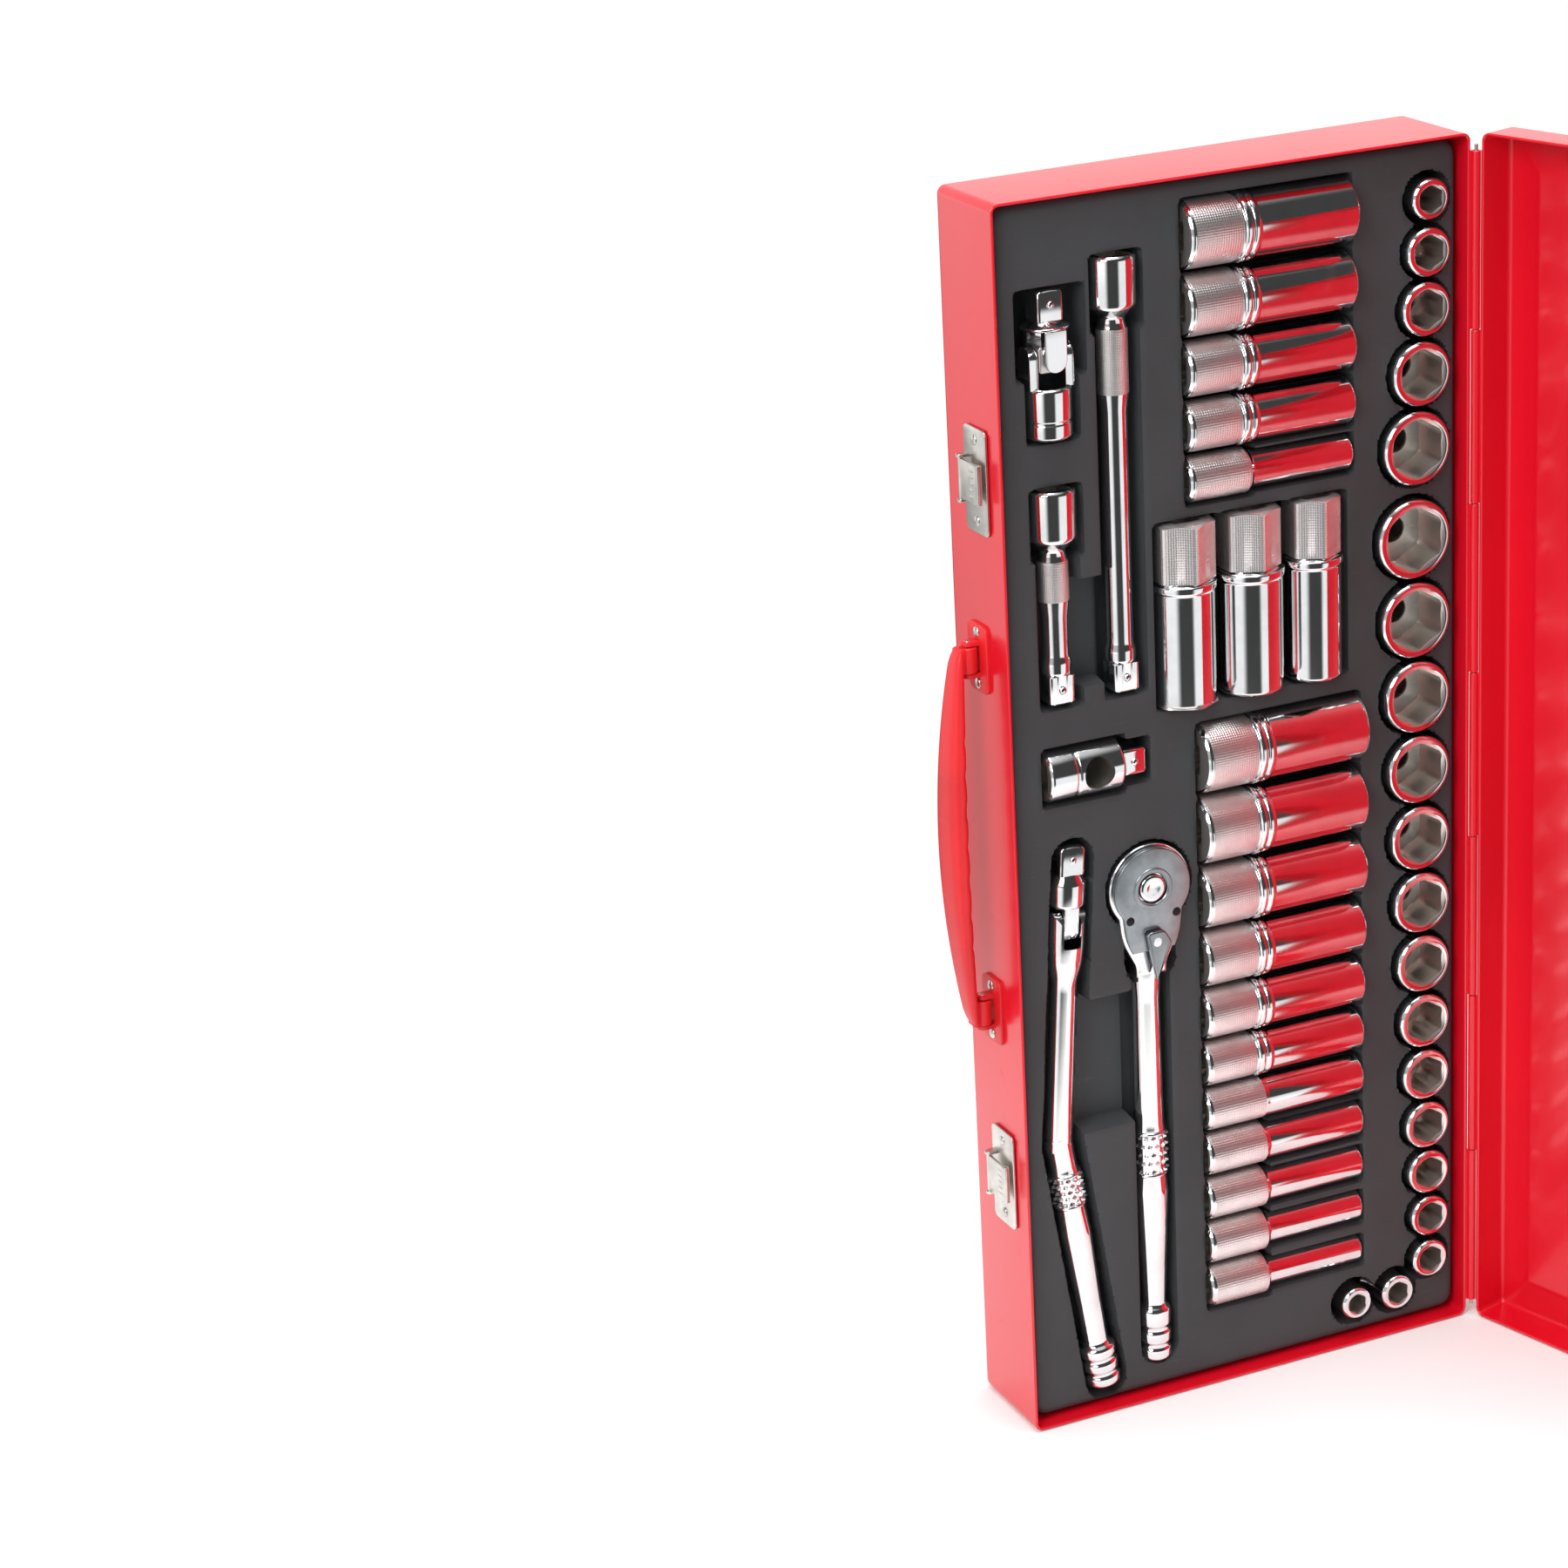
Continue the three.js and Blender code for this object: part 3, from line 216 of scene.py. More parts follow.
class Finish:
    """A material whose nodes are added one call at a time."""

    def __init__(self, name):
        self.material = bpy.data.materials.new(name)
        self.material.use_nodes = True
        self.tree = self.material.node_tree
        self.tree.nodes.clear()
        self.shader = self.tree.nodes.new("ShaderNodeBsdfPrincipled")
        output = self.tree.nodes.new("ShaderNodeOutputMaterial")
        self.tree.links.new(self.shader.outputs[0], output.inputs[0])

    def node(self, kind, settings=None, values=None, output=0):
        made = self.tree.nodes.new(kind)
        for key, value in (settings or {}).items():
            setattr(made, key, value)
        for key, value in (values or {}).items():
            self._feed(made.inputs[key], value)
        return Wire(self, made.outputs[output])

    def _feed(self, socket, value):
        if isinstance(value, Wire):
            self.tree.links.new(value.socket, socket)
        elif isinstance(value, tuple) and len(value) == 3 and socket.type == "RGBA":
            socket.default_value = (*value, 1.0)
        else:
            socket.default_value = value

    def place(self, stretch=(1.0, 1.0, 1.0)):
        raw = self.node("ShaderNodeTexCoord", output="Object")
        return self.node("ShaderNodeMapping", {}, {"Vector": raw, "Scale": stretch})

    def noise(self, place, scale, detail=2.0, roughness=0.5, distortion=0.0):
        values = {
            "Vector": place, "Scale": scale, "Detail": detail, "Roughness": roughness,
            "Distortion": distortion
        }
        return self.node("ShaderNodeTexNoise", {}, values)

    def blend(self, factor, first, second):
        made = self.tree.nodes.new("ShaderNodeMix")
        made.data_type = "RGBA"
        self._feed(made.inputs[0], factor)
        self._feed(made.inputs[6], first)
        self._feed(made.inputs[7], second)
        return Wire(self, made.outputs[2])

    def bump(self, height, strength, distance, under=None):
        values = {"Height": height, "Strength": strength, "Distance": distance}
        if under is not None:
            values["Normal"] = under
        return self.node("ShaderNodeBump", {}, values)

    def set(self, **values):
        for key, value in values.items():
            self._feed(self.shader.inputs[key.replace("_", " ")], value)
        return self.material


def shade(colour, factor):
    return tuple(min(1.0, channel * factor) for channel in colour)


def enamel(name, colour, deep):
    f = Finish(name)
    place = f.place()
    cloud = f.noise(place, 9.0, 3.0)
    peel = f.noise(place, 620.0, 2.0)
    scuff = f.noise(place, 75.0, 9.0, 0.72, 0.6).above(0.60, 0.74)
    scratch = f.noise(f.place((1.0, 1.0, 26.0)), 48.0, 5.0, 0.65).above(0.64, 0.70)
    base = f.blend(cloud.above(0.3, 0.75), deep, colour)
    base = f.blend(scuff * 0.10 + scratch * 0.06, base, shade(colour, 1.5))
    normal = f.bump(peel, 0.10, 0.00006)
    normal = f.bump(scratch, 0.12, 0.00003, normal)
    return f.set(
        Base_Color=base,
        Roughness=0.25 + cloud * 0.10 + scuff * 0.18,
        Normal=normal,
        Coat_Weight=0.35,
        Coat_Roughness=0.12,
    )


def moulded(name, colour, roughness, grain):
    f = Finish(name)
    place = f.place()
    cloud = f.noise(place, 14.0, 4.0, 0.6)
    speck = f.noise(place, 1500.0, 2.0, 0.6)
    leather = f.node("ShaderNodeTexVoronoi", {"feature": "F1"}, {"Vector": place, "Scale": 900.0})
    rub = f.noise(f.place((1.0, 1.0, 9.0)), 60.0, 6.0, 0.7).above(0.60, 0.75)
    base = f.blend(cloud.above(0.25, 0.8), shade(colour, 0.82), shade(colour, 1.18))
    base = f.blend(rub * 0.30 + speck.above(0.62, 0.8) * 0.25, base, shade(colour, 1.9))
    normal = f.bump(leather, grain, 0.00012)
    normal = f.bump(speck, grain * 0.6, 0.00006, normal)
    return f.set(Base_Color=base, Roughness=roughness + cloud * 0.12 - rub * 0.10, Normal=normal)


def chromed(name, roughness, tint=(0.86, 0.87, 0.88)):
    f = Finish(name)
    place = f.place()
    haze = f.noise(place, 85.0, 5.0, 0.6)
    wipe = f.noise(f.place((1.0, 1.0, 14.0)), 130.0, 4.0, 0.6)
    smudge = f.noise(place, 46.0, 7.0, 0.7, 0.8).above(0.58, 0.72)
    base = f.blend(haze.above(0.35, 0.8), tint, shade(tint, 0.88))
    normal = f.bump(wipe, 0.05, 0.00004)
    return f.set(
        Base_Color=base, Metallic=1.0, Roughness=roughness + haze * 0.05 + smudge * 0.09, Normal=normal
    )


def frosted(name, tint, roughness, pitch, depth):
    """Satin metal with a diamond pattern along the piece's own turned surface, in millimetres."""
    f = Finish(name)
    along = f.node("ShaderNodeUVMap", {"uv_map": "turned"})
    split = f.tree.nodes.new("ShaderNodeSeparateXYZ")
    f.tree.links.new(along.socket, split.inputs[0])
    u, v = Wire(f, split.outputs[0]), Wire(f, split.outputs[1])
    wave = math.pi / pitch
    diamond = ((u + v) * wave).sine() * ((u - v) * wave).sine()
    place = f.place()
    haze = f.noise(place, 120.0, 5.0, 0.65)
    grit = f.noise(place, 2600.0, 2.0)
    base = f.blend(haze.above(0.3, 0.8), tint, shade(tint, 0.84))
    base = f.blend(diamond.above(0.1, 0.9) * 0.25, base, shade(tint, 1.15))
    normal = f.bump(diamond, depth, 0.00012)
    normal = f.bump(grit, 0.10, 0.00003, normal)
    return f.set(Base_Color=base, Metallic=1.0, Roughness=roughness + haze * 0.12, Normal=normal)


def plated(name, tint, roughness):
    """Zinc or grey plate with a fine rolled grain along the case."""
    f = Finish(name)
    grain = f.noise(f.place((30.0, 30.0, 1.0)), 90.0, 6.0, 0.7)
    bloom = f.noise(f.place(), 160.0, 4.0, 0.6)
    stain = f.noise(f.place(), 45.0, 6.0, 0.7).above(0.55, 0.75)
    base = f.blend(bloom.above(0.3, 0.75), tint, shade(tint, 0.78))
    base = f.blend(stain * 0.3, base, shade(tint, 0.62))
    normal = f.bump(grain, 0.14, 0.00005)
    return f.set(
        Base_Color=base, Metallic=1.0, Roughness=roughness + bloom * 0.14 + stain * 0.12, Normal=normal
    )


FINISHES = {}


def finish(name):
    if name not in FINISHES:
        FINISHES[name] = MAKERS[name]()
    return FINISHES[name]


MAKERS = {
    "case_red": lambda: enamel("case_red", tuple(case().red), tuple(case().deep_red)),
    "handle_red": lambda: moulded("handle_red", tuple(case().handle_red), 0.34, 0.10),
    "liner_grey": lambda: moulded("liner_grey", tuple(liner().grey), 0.56, 0.30),
    "chrome": lambda: chromed("chrome", tools().polish),
    "bore": lambda: chromed("bore", 0.36, (0.82, 0.79, 0.74)),
    "satin": lambda: frosted("satin", (0.90, 0.86, 0.85), 0.34, 0.9, 0.35),
    "knurl": lambda: frosted("knurl", (0.74, 0.74, 0.75), 0.20, 1.3, 0.25),
    "zinc": lambda: plated("zinc", (0.74, 0.72, 0.67), 0.26),
    "cover": lambda: plated("cover", (0.36, 0.40, 0.42), 0.24),
    "dark": lambda: plated("dark", (0.05, 0.05, 0.055), 0.45),
}

# ---------------------------------------------------------------- meshes


def add_piece(name, verts, faces, slots, mats, smooth=True, uv=None):
    """A mesh object from millimetre points, with one material for each slot number."""
    mesh = bpy.data.meshes.new(name)
    mesh.from_pydata([tuple(v) for v in np.asarray(verts) * MM], [], [tuple(f) for f in faces])
    for m in mats:
        mesh.materials.append(finish(m))
    mesh.polygons.foreach_set("material_index", np.asarray(slots, dtype=np.int32))
    mesh.polygons.foreach_set("use_smooth", np.full(len(faces), smooth))
    if uv is not None:
        layer = mesh.uv_layers.new(name="turned")
        layer.data.foreach_set("uv", np.asarray(uv, dtype=np.float32).ravel())
    mesh.set_sharp_from_angle(angle=ANGLE_SHARP)
    made = bpy.data.objects.new(name, mesh)
    bpy.context.scene.collection.objects.link(made)
    return made


def settle(piece, body, *nodes):
    """Closes seams, turns faces outwards and puts the piece on its body."""
    bm = bmesh.new()
    bm.from_mesh(piece.data)
    bmesh.ops.remove_doubles(bm, verts=bm.verts, dist=1e-6)
    bmesh.ops.dissolve_degenerate(bm, edges=bm.edges, dist=1e-7)
    bmesh.ops.recalc_face_normals(bm, faces=bm.faces)
    bm.to_mesh(piece.data)
    bm.free()
    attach(piece, body)
    if nodes:
        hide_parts(*nodes)
    return piece


def join_pieces(name, pieces):
    """Several mesh objects as one, each keeping its own materials."""
    bpy.ops.object.select_all(action="DESELECT")
    for piece in pieces:
        piece.select_set(True)
    bpy.context.view_layer.objects.active = pieces[0]
    bpy.ops.object.join()
    pieces[0].name = name
    pieces[0].data.name = name
    return pieces[0]


def strip(n, first, second):
    """Quads between two closed loops of n points that start at the given indices."""
    return [(first + k, first + (k + 1) % n, second + (k + 1) % n, second + k) for k in range(n)]


def rounded(points, radius, steps=3):
    """A line of points with each inner corner eased over the given length."""
    pts = [np.array(p, float) for p in points]
    out = [pts[0]]
    for before, corner, after in zip(pts, pts[1:], pts[2:]):
        back, ahead = before - corner, after - corner
        reach = min(radius, np.linalg.norm(back) * 0.45, np.linalg.norm(ahead) * 0.45)
        start = corner + back / max(np.linalg.norm(back), 1e-9) * reach
        end = corner + ahead / max(np.linalg.norm(ahead), 1e-9) * reach
        for k in range(steps + 1):
            t = k / steps
            out.append((1 - t) ** 2 * start + 2 * t * (1 - t) * corner + t**2 * end)
    out.append(pts[-1])
    return out


def many_sided(flats, sides, soften=0.05):
    """Radius at each point round a hexagon or square, with its corners eased."""
    n = tools().segments
    step = TURN / sides
    angle = (np.arange(n) / n * TURN + step / 2) % step - step / 2
    radius = flats / 2 / np.cos(angle)
    limit = flats / 2 / math.cos(step / 2) * (1 - soften)
    return np.minimum(radius, limit)


def turned(rings, slots=None, hollow=False):
    """Vertices, faces, slots and UVs of rings of points about Z; each ring is (z, radius)."""
    n = tools().segments
    angle = np.arange(n) / n * TURN
    verts, lengths, widest = [], [0.0], 0.0
    for z, r in rings:
        z, r = np.broadcast_to(z, n), np.broadcast_to(r, n)
        verts.append(np.stack([r * np.cos(angle), r * np.sin(angle), z], axis=1))
        widest = max(widest, float(r.max()))
    for a, b in zip(verts, verts[1:] + verts[:1]):
        lengths.append(lengths[-1] + float(np.linalg.norm((b - a)[0])))
    faces, kinds, uv = [], [], []
    count = len(rings)
    for i in range(count if hollow else count - 1):
        a, b = i * n, ((i + 1) % count) * n
        kind = slots[i] if slots else 0
        for k in range(n):
            k2 = (k + 1) % n
            faces.append((a + k, a + k2, b + k2, b + k))
            kinds.append(kind)
            u0, u1 = k / n * TURN * widest, (k + 1) / n * TURN * widest
            uv += [(u0, lengths[i]), (u1, lengths[i]), (u1, lengths[i + 1]), (u0, lengths[i + 1])]
    points = np.concatenate(verts)
    if not hollow:
        for ring, start in ((0, 0), (count - 1, (count - 1) * n)):
            centre = len(points)
            middle = verts[ring].mean(axis=0)
            points = np.vstack([points, middle])
            for k in range(n):
                k2 = (k + 1) % n
                order = (start + k2, start + k, centre) if ring == 0 else (start + k, start + k2, centre)
                faces.append(order)
                kinds.append(slots[0 if ring == 0 else -1] if slots else 0)
                uv += [(0.0, 0.0)] * 3
    return points, faces, kinds, uv


ALONG = {
    "+Z": np.eye(3),
    "+X": np.array([[0, 0, 1], [0, 1, 0], [-1, 0, 0]], float),
    "-Y": np.array([[1, 0, 0], [0, 0, -1], [0, 1, 0]], float),
    "+Y": np.array([[1, 0, 0], [0, 0, 1], [0, -1, 0]], float),
}


def turned_piece(name, rings, mats, place, along="+Z", slots=None, hollow=False, lean=0.0):
    points, faces, kinds, uv = turned(rings, slots, hollow)
    points = points @ ALONG[along].T
    if lean:
        c, s = math.cos(lean), math.sin(lean)
        points = points @ np.array([[c, 0, s], [0, 1, 0], [-s, 0, c]]).T
    return add_piece(name, points + np.array(place), faces, kinds, mats, uv=uv)


def offset_outline(outline, inset):
    """The closed outline moved inwards along its corners' bisectors."""
    pts = np.asarray(outline, float)
    ahead = np.roll(pts, -1, axis=0) - pts
    behind = pts - np.roll(pts, 1, axis=0)
    normal = np.stack([-ahead[:, 1], ahead[:, 0]], axis=1)
    normal /= np.linalg.norm(normal, axis=1)[:, None] + 1e-12
    other = np.stack([-behind[:, 1], behind[:, 0]], axis=1)
    other /= np.linalg.norm(other, axis=1)[:, None] + 1e-12
    bisector = normal + other
    bisector /= (np.einsum("ij,ij->i", bisector, bisector) / 2)[:, None] + 1e-12
    return pts + bisector * inset


def slab(name, outline, near, far, ease, mats, plane="XZ", steps=3):
    """A plate with eased edges; the outline runs counterclockwise in the plane's two directions."""
    profile = [
        (ease * (1 - math.sin(t)), ease * (1 - math.cos(t))) for t in np.linspace(0, math.pi / 2, steps + 1)
    ]
    levels = [(inset, near + down) for inset, down in profile]
    levels += [(inset, far - down) for inset, down in reversed(profile)]
    loops = []
    for inset, depth in levels:
        loop = np.full((len(outline), 3), float(depth))
        loop[:, PLANES[plane]] = offset_outline(outline, inset)
        loops.append(loop)
    n = len(outline)
    faces = [tuple(range(n))[::-1]]
    for i in range(len(loops) - 1):
        faces += strip(n, i * n, (i + 1) * n)
    faces.append(tuple(range((len(loops) - 1) * n, len(loops) * n)))
    if plane == "XZ":
        faces = [face[::-1] for face in faces]
    return add_piece(name, np.concatenate(loops), faces, [0] * len(faces), mats)


def rounded_box_outline(left, low, right, high, radius, steps=5):
    corners = [(right - radius, high - radius, 0), (left + radius, high - radius, 1),
               (left + radius, low + radius, 2), (right - radius, low + radius, 3)]
    out = []
    for cx, cy, quarter in corners:
        for k in range(steps + 1):
            a = (quarter + k / steps) * math.pi / 2
            out.append((cx + radius * math.cos(a), cy + radius * math.sin(a)))
    return out


def cut_with(piece, *cutters, operation="DIFFERENCE"):
    """Applies boolean cuts and removes the cutters."""
    for cutter in cutters:
        mod = piece.modifiers.new("cut", "BOOLEAN")
        mod.operation = operation
        mod.solver = "EXACT"
        mod.object = cutter
    shown = piece.evaluated_get(bpy.context.evaluated_depsgraph_get())
    made = bpy.data.meshes.new_from_object(shown)
    piece.modifiers.clear()
    old = piece.data
    piece.data = made
    made.name = piece.name
    bpy.data.meshes.remove(old)
    for cutter in cutters:
        bpy.data.objects.remove(cutter)
    made.set_sharp_from_angle(angle=ANGLE_SHARP)
    return piece


# ---------------------------------------------------------------- repeated details


def start_tree(name, inputs):
    tree = bpy.data.node_groups.new(name, "GeometryNodeTree")
    for label, kind, value in inputs:
        made = tree.interface.new_socket(label, in_out="INPUT", socket_type=kind)
        if value is not None:
            made.default_value = value
    tree.interface.new_socket("Geometry", in_out="OUTPUT", socket_type="NodeSocketGeometry")
    return tree, tree.nodes.new("NodeGroupInput"), tree.nodes.new("NodeGroupOutput")


def grow(tree, kind, links=None, settings=None):
    """Adds a node and gives its first output."""
    made = tree.nodes.new(kind)
    for key, value in (settings or {}).items():
        setattr(made, key, value)
    for key, value in (links or {}).items():
        if isinstance(value, bpy.types.NodeSocket):
            tree.links.new(value, made.inputs[key])
        else:
            made.inputs[key].default_value = value
    return made.outputs[0]


def calc(tree, operation, *values):
    return grow(tree, "ShaderNodeMath", dict(enumerate(values)), {"operation": operation})


def end_tree(tree, result, given, out):
    real = grow(tree, "GeometryNodeRealizeInstances", {"Geometry": result})
    painted = grow(tree, "GeometryNodeSetMaterial", {"Geometry": real, "Material": given.outputs["Material"]})
    tree.links.new(painted, out.inputs[0])
    return tree


def heads_tree():
    """A straight row of domed heads."""
    inputs = [("Count", "NodeSocketInt", 2)]
    inputs += [(label, "NodeSocketVector", None) for label in ("Start", "Step", "Size")]
    tree, given, out = start_tree("Row of heads", [*inputs, ("Material", "NodeSocketMaterial", None)])
    count, start, step, size = [given.outputs[label] for label in ("Count", "Start", "Step", "Size")]
    line = grow(tree, "GeometryNodeMeshLine", {"Count": count, "Start Location": start, "Offset": step})
    ball = grow(tree, "GeometryNodeMeshUVSphere", {"Segments": 20, "Rings": 12, "Radius": 1.0})
    head = grow(tree, "GeometryNodeTransform", {"Geometry": ball, "Scale": size})
    smooth = grow(tree, "GeometryNodeSetShadeSmooth", {"Geometry": head})
    placed = grow(tree, "GeometryNodeInstanceOnPoints", {"Points": line, "Instance": smooth})
    return end_tree(tree, placed, given, out)


def rings_tree():
    """A row of round rings threaded on one line, such as the bands of a collar."""
    tree, given, out = start_tree(
        "Row of rings",
        [
            ("Count", "NodeSocketInt", 3),
            ("Step", "NodeSocketVector", None),
            ("Radius", "NodeSocketFloat", 0.006),
            ("Thickness", "NodeSocketFloat", 0.0008),
            ("Material", "NodeSocketMaterial", None),
        ],
    )
    count, step, radius, thickness = [
        given.outputs[label] for label in ("Count", "Step", "Radius", "Thickness")
    ]
    line = grow(tree, "GeometryNodeMeshLine", {"Count": count, "Offset": step})
    hoop = grow(tree, "GeometryNodeCurvePrimitiveCircle", {"Resolution": 48, "Radius": radius})
    wire = grow(tree, "GeometryNodeCurvePrimitiveCircle", {"Resolution": 10, "Radius": thickness})
    ring = grow(tree, "GeometryNodeCurveToMesh", {"Curve": hoop, "Profile Curve": wire})
    smooth = grow(tree, "GeometryNodeSetShadeSmooth", {"Geometry": ring})
    placed = grow(tree, "GeometryNodeInstanceOnPoints", {"Points": line, "Instance": smooth})
    return end_tree(tree, placed, given, out)


def knurl_tree():
    """Small four-sided points in rows round a cylinder about Z, every second row turned by half a step."""
    tree, given, out = start_tree(
        "Knurled band",
        [
            ("Around", "NodeSocketInt", 26),
            ("Rows", "NodeSocketInt", 9),
            ("Radius", "NodeSocketFloat", 0.006),
            ("Length", "NodeSocketFloat", 0.012),
            ("Point", "NodeSocketFloat", 0.0008),
            ("Material", "NodeSocketMaterial", None),
        ],
    )
    around, rows, radius, length, point = given.outputs[:5]
    cloud = grow(tree, "GeometryNodePoints", {"Count": calc(tree, "MULTIPLY", around, rows)})
    index = grow(tree, "GeometryNodeInputIndex")
    row = calc(tree, "FLOOR", calc(tree, "DIVIDE", index, around))
    spot = calc(tree, "ADD", index, calc(tree, "MULTIPLY", row, 0.5))
    angle = calc(tree, "MULTIPLY", calc(tree, "DIVIDE", spot, around), TURN)
    cos, sin = calc(tree, "COSINE", angle), calc(tree, "SINE", angle)
    up = calc(tree, "DIVIDE", row, calc(tree, "SUBTRACT", rows, 1.0))
    place = {
        "X": calc(tree, "MULTIPLY", cos, radius),
        "Y": calc(tree, "MULTIPLY", sin, radius),
        "Z": calc(tree, "MULTIPLY", up, length),
    }
    position = grow(tree, "ShaderNodeCombineXYZ", place)
    outward = grow(tree, "ShaderNodeCombineXYZ", {"X": cos, "Y": sin})
    spread = grow(tree, "GeometryNodeSetPosition", {"Geometry": cloud, "Position": position})
    turn = grow(tree, "FunctionNodeAlignRotationToVector", {"Vector": outward}, {"axis": "Z"})
    shape = {"Vertices": 4, "Radius Top": KNURL_TIP * MM, "Radius Bottom": point, "Depth": point}
    cone = grow(tree, "GeometryNodeMeshCone", shape)
    placed = grow(
        tree, "GeometryNodeInstanceOnPoints", {"Points": spread, "Instance": cone, "Rotation": turn}
    )
    return end_tree(tree, placed, given, out)


TREES = {}


def repeated(name, kind, values, material, move=None):
    """Runs one of the trees and keeps its result as a plain mesh, moved by a matrix in metres."""
    if kind not in TREES:
        TREES[kind] = {"heads": heads_tree, "rings": rings_tree, "knurl": knurl_tree}[kind]()
    tree = TREES[kind]
    holder = bpy.data.objects.new(name, bpy.data.meshes.new(name))
    bpy.context.scene.collection.objects.link(holder)
    mod = holder.modifiers.new("grow", "NODES")
    mod.node_group = tree
    sockets = {s.name: s.identifier for s in tree.interface.items_tree if s.in_out == "INPUT"}
    for label, value in values.items():
        mod[sockets[label]] = value
    mod[sockets["Material"]] = finish(material)
    shown = holder.evaluated_get(bpy.context.evaluated_depsgraph_get())
    made = bpy.data.meshes.new_from_object(shown)
    holder.modifiers.clear()
    holder.data = made
    if move is not None:
        made.transform(move)
    return holder


def heads(name, count, start, step, size, material):
    """A row of domed heads, with all sizes in millimetres."""
    values = {"Count": count}
    for label, value in (("Start", start), ("Step", step), ("Size", size)):
        values[label] = tuple(part * MM for part in value)
    return repeated(name, "heads", values, material)


# ---------------------------------------------------------------- case


def tray_frame():
    """Half width, height, rim and panel places of the tray, in millimetres."""
    side = in_mm(case().sheet) + in_mm(case().liner_gap)
    tray_high = box_mm("tray")[1]
    return box_mm("liner")[1][0] + side, tray_high[2], -tray_high[1], tray_high[1]


def pan_levels(depth):
    """(inset, depth) round a pan's section: outside from rim to panel, then inside back to the rim."""
    t, fold = in_mm(case().sheet), in_mm(case().fold)
    outside = rounded([(0.0, 0.35), (0.0, depth), (12.0, depth)], fold, 6)
    step = rounded([(12.0, depth), (14.0, depth - 0.7), (26.0, depth - 0.7)], 1.2, 3)
    back = rounded([(26.0, depth - t - 0.7), (14.0, depth - t - 0.7), (12.0, depth - t)], 1.0, 3)
    inside = rounded([(12.0, depth - t), (t, depth - t), (t, 0.35)], fold - t * 0.5, 5)
    over = [(t * 0.75, 0.1), (t * 0.5, 0.0), (t * 0.25, 0.1)]
    return outside, step, back, inside, over


def pan_piece(name, half, height, rim, panel):
    """A pressed steel pan with eased rim, folds and a shallow pressed field in its panel."""
    sign = 1.0 if panel > rim else -1.0
    outside, step, back, inside, over = pan_levels(abs(panel - rim))
    levels = outside + step[1:] + back + inside[1:] + over
    radius = in_mm(case().corner)
    loops = []
    for inset, depth in levels:
        r = max(radius - inset, 1.2)
        flat = np.array(rounded_box_outline(-half + inset, inset, half - inset, height - inset, r, 8))
        loops.append(np.stack([flat[:, 0], np.full(len(flat), rim + sign * depth), flat[:, 1]], axis=1))
    n, count = len(loops[0]), len(loops)
    split = len(outside) + len(step) - 1
    faces = []
    for i in range(count):
        if i == split - 1:
            continue
        faces += strip(n, i * n, ((i + 1) % count) * n)
    faces.append(tuple((split - 1) * n + k for k in range(n)))
    faces.append(tuple(split * n + k for k in range(n))[::-1])
    return add_piece(name, np.concatenate(loops), faces, [0] * len(faces), ["case_red"])


def knuckle_pieces(name, first, side):
    """The hinge's rolled knuckles that belong to the tray or to the lid, in shut coordinates."""
    pin_low, pin_high = box_mm("hinge_pin")
    half, height, rim, panel = tray_frame()
    cx, cy = (pin_low[0] + pin_high[0]) / 2, (pin_low[1] + pin_high[1]) / 2
    margin, count = in_mm(case().hinge_margin), case().knuckles
    outer, inner = in_mm(case().knuckle), in_mm(case().knuckle_bore)
    pitch = (height - 2 * margin) / count
    made = []
    for i in range(first, count, 2):
        low, high = margin + i * pitch + 0.15, margin + (i + 1) * pitch - 0.15
        rings = [
            (low, inner), (low, outer - 0.2), (low + 0.2, outer), (high - 0.2, outer), (high, outer - 0.2),
            (high, inner)
        ]
        made.append(turned_piece(f"{name}_{i}", rings, ["case_red"], (cx, cy, 0), hollow=True))
        web = rounded_box_outline(half - 0.6, cy + side * 0.9 - 0.45, cx, cy + side * 0.9 + 0.45, 0.2, 2)
        made.append(slab(f"{name}_web_{i}", web, low, high, 0.1, ["case_red"], "XY"))
    leaf = rounded_box_outline(half - 0.6, cy + side * 1.0 - 0.5, half + 0.24, cy + side * 1.0 + 0.5, 0.1, 2)
    made.append(slab(f"{name}_leaf", leaf, margin, height - margin, 0.05, ["case_red"], "XY"))
    return made


def open_lid(piece):
    """Turns a piece made in shut coordinates about the hinge pin."""
    low, high = box_mm("hinge_pin")
    pin = Vector(((low[0] + high[0]) / 2 * MM, (low[1] + high[1]) / 2 * MM, 0))
    turn = Matrix.Translation(pin) @ Matrix.Rotation(case().open_angle, 4, "Z") @ Matrix.Translation(-pin)
    piece.data.transform(turn)
    return piece


def build_tray():
    half, height, rim, panel = tray_frame()
    pan = pan_piece("tray_pan", half, height, rim, panel)
    joined = join_pieces("tray_shell", [pan, *knuckle_pieces("tray_knuckle", 0, 1)])
    settle(joined, "tray", "tray")


